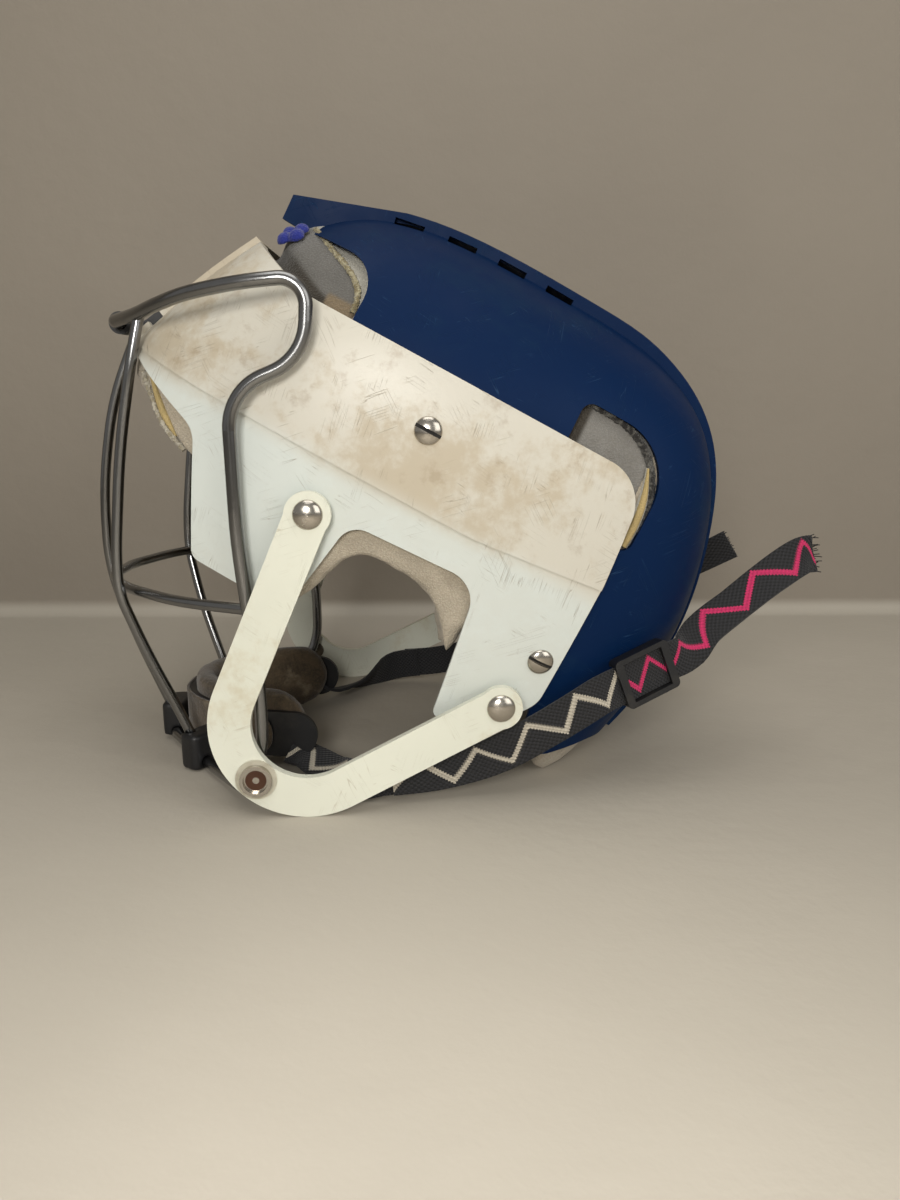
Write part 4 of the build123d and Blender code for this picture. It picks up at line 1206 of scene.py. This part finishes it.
class HELMET_OT_liner(bpy.types.Operator):
    """Replace the liner's foam pads and cloth with soft pieces."""

    bl_idname = "helmet.liner"
    bl_label = "Liner"

    def execute(self, context):
        cloth = liner_fabric("Liner cloth", colours().liner, (0.24, 0.19, 0.13))
        pads = (
            ("brow_pad", "front"), ("side_pad_left", "front"), ("side_pad_right", "front"),
            ("crown_pad", "rear"), ("rear_pad", "rear"), ("neck_pad", "rear"),
        )
        for node_name, body in pads:
            pad_from(
                node_name, body, node_name + "_foam", cloth, HEAD_MIDDLE,
                grain=sizes().pad_grain, farthest=sizes().pad_swell,
            )
        panel = colours().panel_cloth
        tints = (
            # The second tint is a painted shadow along the shell's edges.
            ("pale", (0.44, 0.42, 0.36)), ("dim", (0.034, 0.027, 0.018)),
            # The cut foam's tint is the foam's colour darkened as painted shade.
            ("cut", (0.22, 0.165, 0.10)),
        )
        # The gap's cloth is the window cloth darkened as painted shade, and its dirt colour is
        # darkened the same way.
        shaded_gap_cloth = liner_fabric("Shaded grey gap cloth", darker(panel, 0.62), (0.09, 0.08, 0.065), tints)
        window_cloth = liner_fabric("Grey window cloth", panel, (0.15, 0.135, 0.11), tints)
        sheets = (
            ("liner_cloth_front", FRONT_CLOTH_FLAT, shaded_gap_cloth),
            ("liner_cloth_left", WINDOW_CLOTH_FLAT, window_cloth),
            ("liner_cloth_right", WINDOW_CLOTH_FLAT, window_cloth),
        )
        for node_name, flat, finish in sheets:
            in_front = node_name == "liner_cloth_front"
            sheet = skin_from(
                node_name, "rear", node_name + "_sheet", finish, 0.0010,
            )
            lay_out_cloth(sheet, in_front)
            if in_front:
                for vertex in sheet.data.vertices:
                    vertex.co = puffed(vertex.co)
                sheet.data.update()

        pale = liner_fabric("Pale rolled cloth", (0.54, 0.52, 0.45), (0.38, 0.33, 0.24))
        foam = cut_foam()
        loops = looped_edging("Cream loop edging", (0.42, 0.375, 0.24), (0.24, 0.195, 0.10))
        pale_loops = looped_edging("Pale loop edging", (0.50, 0.46, 0.37), (0.30, 0.26, 0.18))
        dark_loops = looped_edging("Grey loop edging", (0.13, 0.125, 0.11), (0.022, 0.020, 0.018))
        for side_name, side in SIDES:
            gap_edge = [
                puffed(place) for place in on_piece("liner_cloth_front", GAP_EDGE_PLACES, side)
            ]
            window_edge = head_places(WINDOW_EDGE_PLACES, side)
            cut_edge = head_places(FOAM_EDGE_PLACES, side)
            raised = [point + Vector((0.0, side * FOAM_RAISE, 0.0)) for point in cut_edge]
            brow_cut = on_piece("brow_pad", BROW_FOAM_PLACES, side)
            brow_edge = on_piece("brow_pad", BROW_LOOP_PLACES, side)
            trims = (
                ("gap_loops_", gap_edge, 0.0013, None, loops, "rear"),
                ("window_loops_", window_edge, 0.0016, None, dark_loops, "rear"),
                ("window_roll_", cut_edge, 0.0025, FOAM_EDGE_SHARES, pale, "rear"),
                ("window_foam_", raised, 0.0018, FOAM_EDGE_SHARES, foam, "rear"),
                ("brow_foam_", brow_cut, 0.0013, BROW_FOAM_SHARES, foam, "front"),
                ("brow_loops_", brow_edge, 0.0011, None, pale_loops, "front"),
            )
            for start, points, radius, shares, material, body in trims:
                trim = round_cord(start + side_name, points, radius, shares)
                if shares is None:
                    roughen(trim)
                trim.data.materials.append(material)
                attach(trim, body)

        blue = liner_fabric("Blue tuft yarn", (0.018, 0.030, 0.26), (0.008, 0.014, 0.12))
        tuft = skin_from("liner_tuft", "rear", "liner_tuft_yarn", blue, 0.0007)
        for vertex in tuft.data.vertices:
            vertex.co += TUFT_SHIFT
        return {"FINISHED"}


class HELMET_OT_chin_cup(bpy.types.Operator):
    """Replace the chin cup's pad and cover with suede pieces."""

    bl_idname = "helmet.chin_cup"
    bl_label = "Chin cup"

    def execute(self, context):
        suede = suede_leather()
        pad_from(
            "chin_cup_pad", "cage", "chin_cup_suede", suede, CUP_MIDDLE,
            grain=0.003, farthest=0.004,
        )
        skin_from("chin_cup_cover", "cage", "chin_cup_wrap", suede, 0.0009)
        return {"FINISHED"}


class HELMET_OT_straps(bpy.types.Operator):
    """Lay the webbing straps from the chin cup to their free ends."""

    bl_idname = "helmet.straps"
    bl_label = "Straps"

    def execute(self, context):
        cream = webbing_fabric("Webbing with cream zigzag", colours().zigzag)
        pink = webbing_fabric("Webbing with pink zigzag", colours().tail_zigzag)
        plain = webbing_fabric("Plain webbing", None)
        yarn = plain_plastic(
            "Black yarn", colours().webbing, roughness=0.8, dust=(0.03, 0.028, 0.026),
        )
        runs = (
            ("left", -1, NEAR_TAIL_PLACES, NEAR_TAIL_TURNS, YARN_LENGTHS[0], cream, pink),
            ("right", 1, FAR_TAIL_PLACES, FAR_TAIL_TURNS, YARN_LENGTHS[1], plain, plain),
        )
        for side_name, side, tail_places, tail_turns, yarn_length, woven, tail_woven in runs:
            front_points = head_places(FRONT_STRAP_PLACES, side)
            front = webbing_strip(
                "front_webbing_" + side_name, front_points, side, FRONT_STRAP_TURNS,
            )
            front.data.materials.append(woven)
            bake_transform(front)
            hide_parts("chin_strap_front_" + side_name)
            rear_points = head_places(REAR_STRAP_PLACES + tail_places, side)
            turns = (0.0,) * len(REAR_STRAP_PLACES) + tail_turns
            rear = webbing_strip("rear_webbing_" + side_name, rear_points, side, turns)
            rear.data.materials.append(woven)
            rear.data.materials.append(tail_woven)
            tail_start = TAIL_START / (len(rear_points) - 1) * path_length(rear_points)
            flat_map = rear.data.uv_layers.active.data
            for face in rear.data.polygons:
                middle = sum(flat_map[index].uv[0] for index in face.loop_indices)
                face.material_index = 1 if middle / face.loop_total > tail_start else 0
            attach(rear, "rear")
            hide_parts("chin_strap_rear_" + side_name)
            threads = frayed_end(
                "frayed_threads_" + side_name, rear_points, side, tail_turns[-1], yarn_length,
            )
            threads.data.materials.append(yarn)
            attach(threads, "rear")
        return {"FINISHED"}


class HELMET_PT_panel(bpy.types.Panel):
    """Lists the helmet's steps, sizes and colours."""

    bl_label = "Hurling helmet"
    bl_idname = "HELMET_PT_panel"
    bl_space_type = "VIEW_3D"
    bl_region_type = "UI"
    bl_category = "Helmet"

    def draw(self, context):
        column = self.layout.column()
        for step in STEPS:
            column.operator(step.bl_idname)
        for group in (context.scene.helmet_sizes, context.scene.helmet_colours):
            for key in group.bl_rna.properties.keys():
                if key not in ("rna_type", "name"):
                    column.prop(group, key)


STEPS = (
    HELMET_OT_stage, HELMET_OT_straps, HELMET_OT_shells, HELMET_OT_fasteners,
    HELMET_OT_guard, HELMET_OT_liner, HELMET_OT_chin_cup,
)
CLASSES = (HelmetColours, HelmetSizes) + STEPS + (HELMET_PT_panel,)
GROUP_MAKERS = (
    make_stain_group, make_scratch_group, make_weave_group, make_zigzag_group, make_nap_group,
)


def register():
    for item in CLASSES:
        bpy.utils.register_class(item)
    bpy.types.Scene.helmet_colours = bpy.props.PointerProperty(type=HelmetColours)
    bpy.types.Scene.helmet_sizes = bpy.props.PointerProperty(type=HelmetSizes)


def unregister():
    del bpy.types.Scene.helmet_sizes
    del bpy.types.Scene.helmet_colours
    for item in reversed(CLASSES):
        bpy.utils.unregister_class(item)


def main():
    """Runs every step in order."""
    register()
    for make_group in GROUP_MAKERS:
        make_group()
    bpy.ops.helmet.stage()
    bpy.ops.helmet.straps()
    bpy.ops.helmet.shells()
    bpy.ops.helmet.fasteners()
    bpy.ops.helmet.guard()
    bpy.ops.helmet.liner()
    bpy.ops.helmet.chin_cup()


if __name__ == "__main__":
    main()
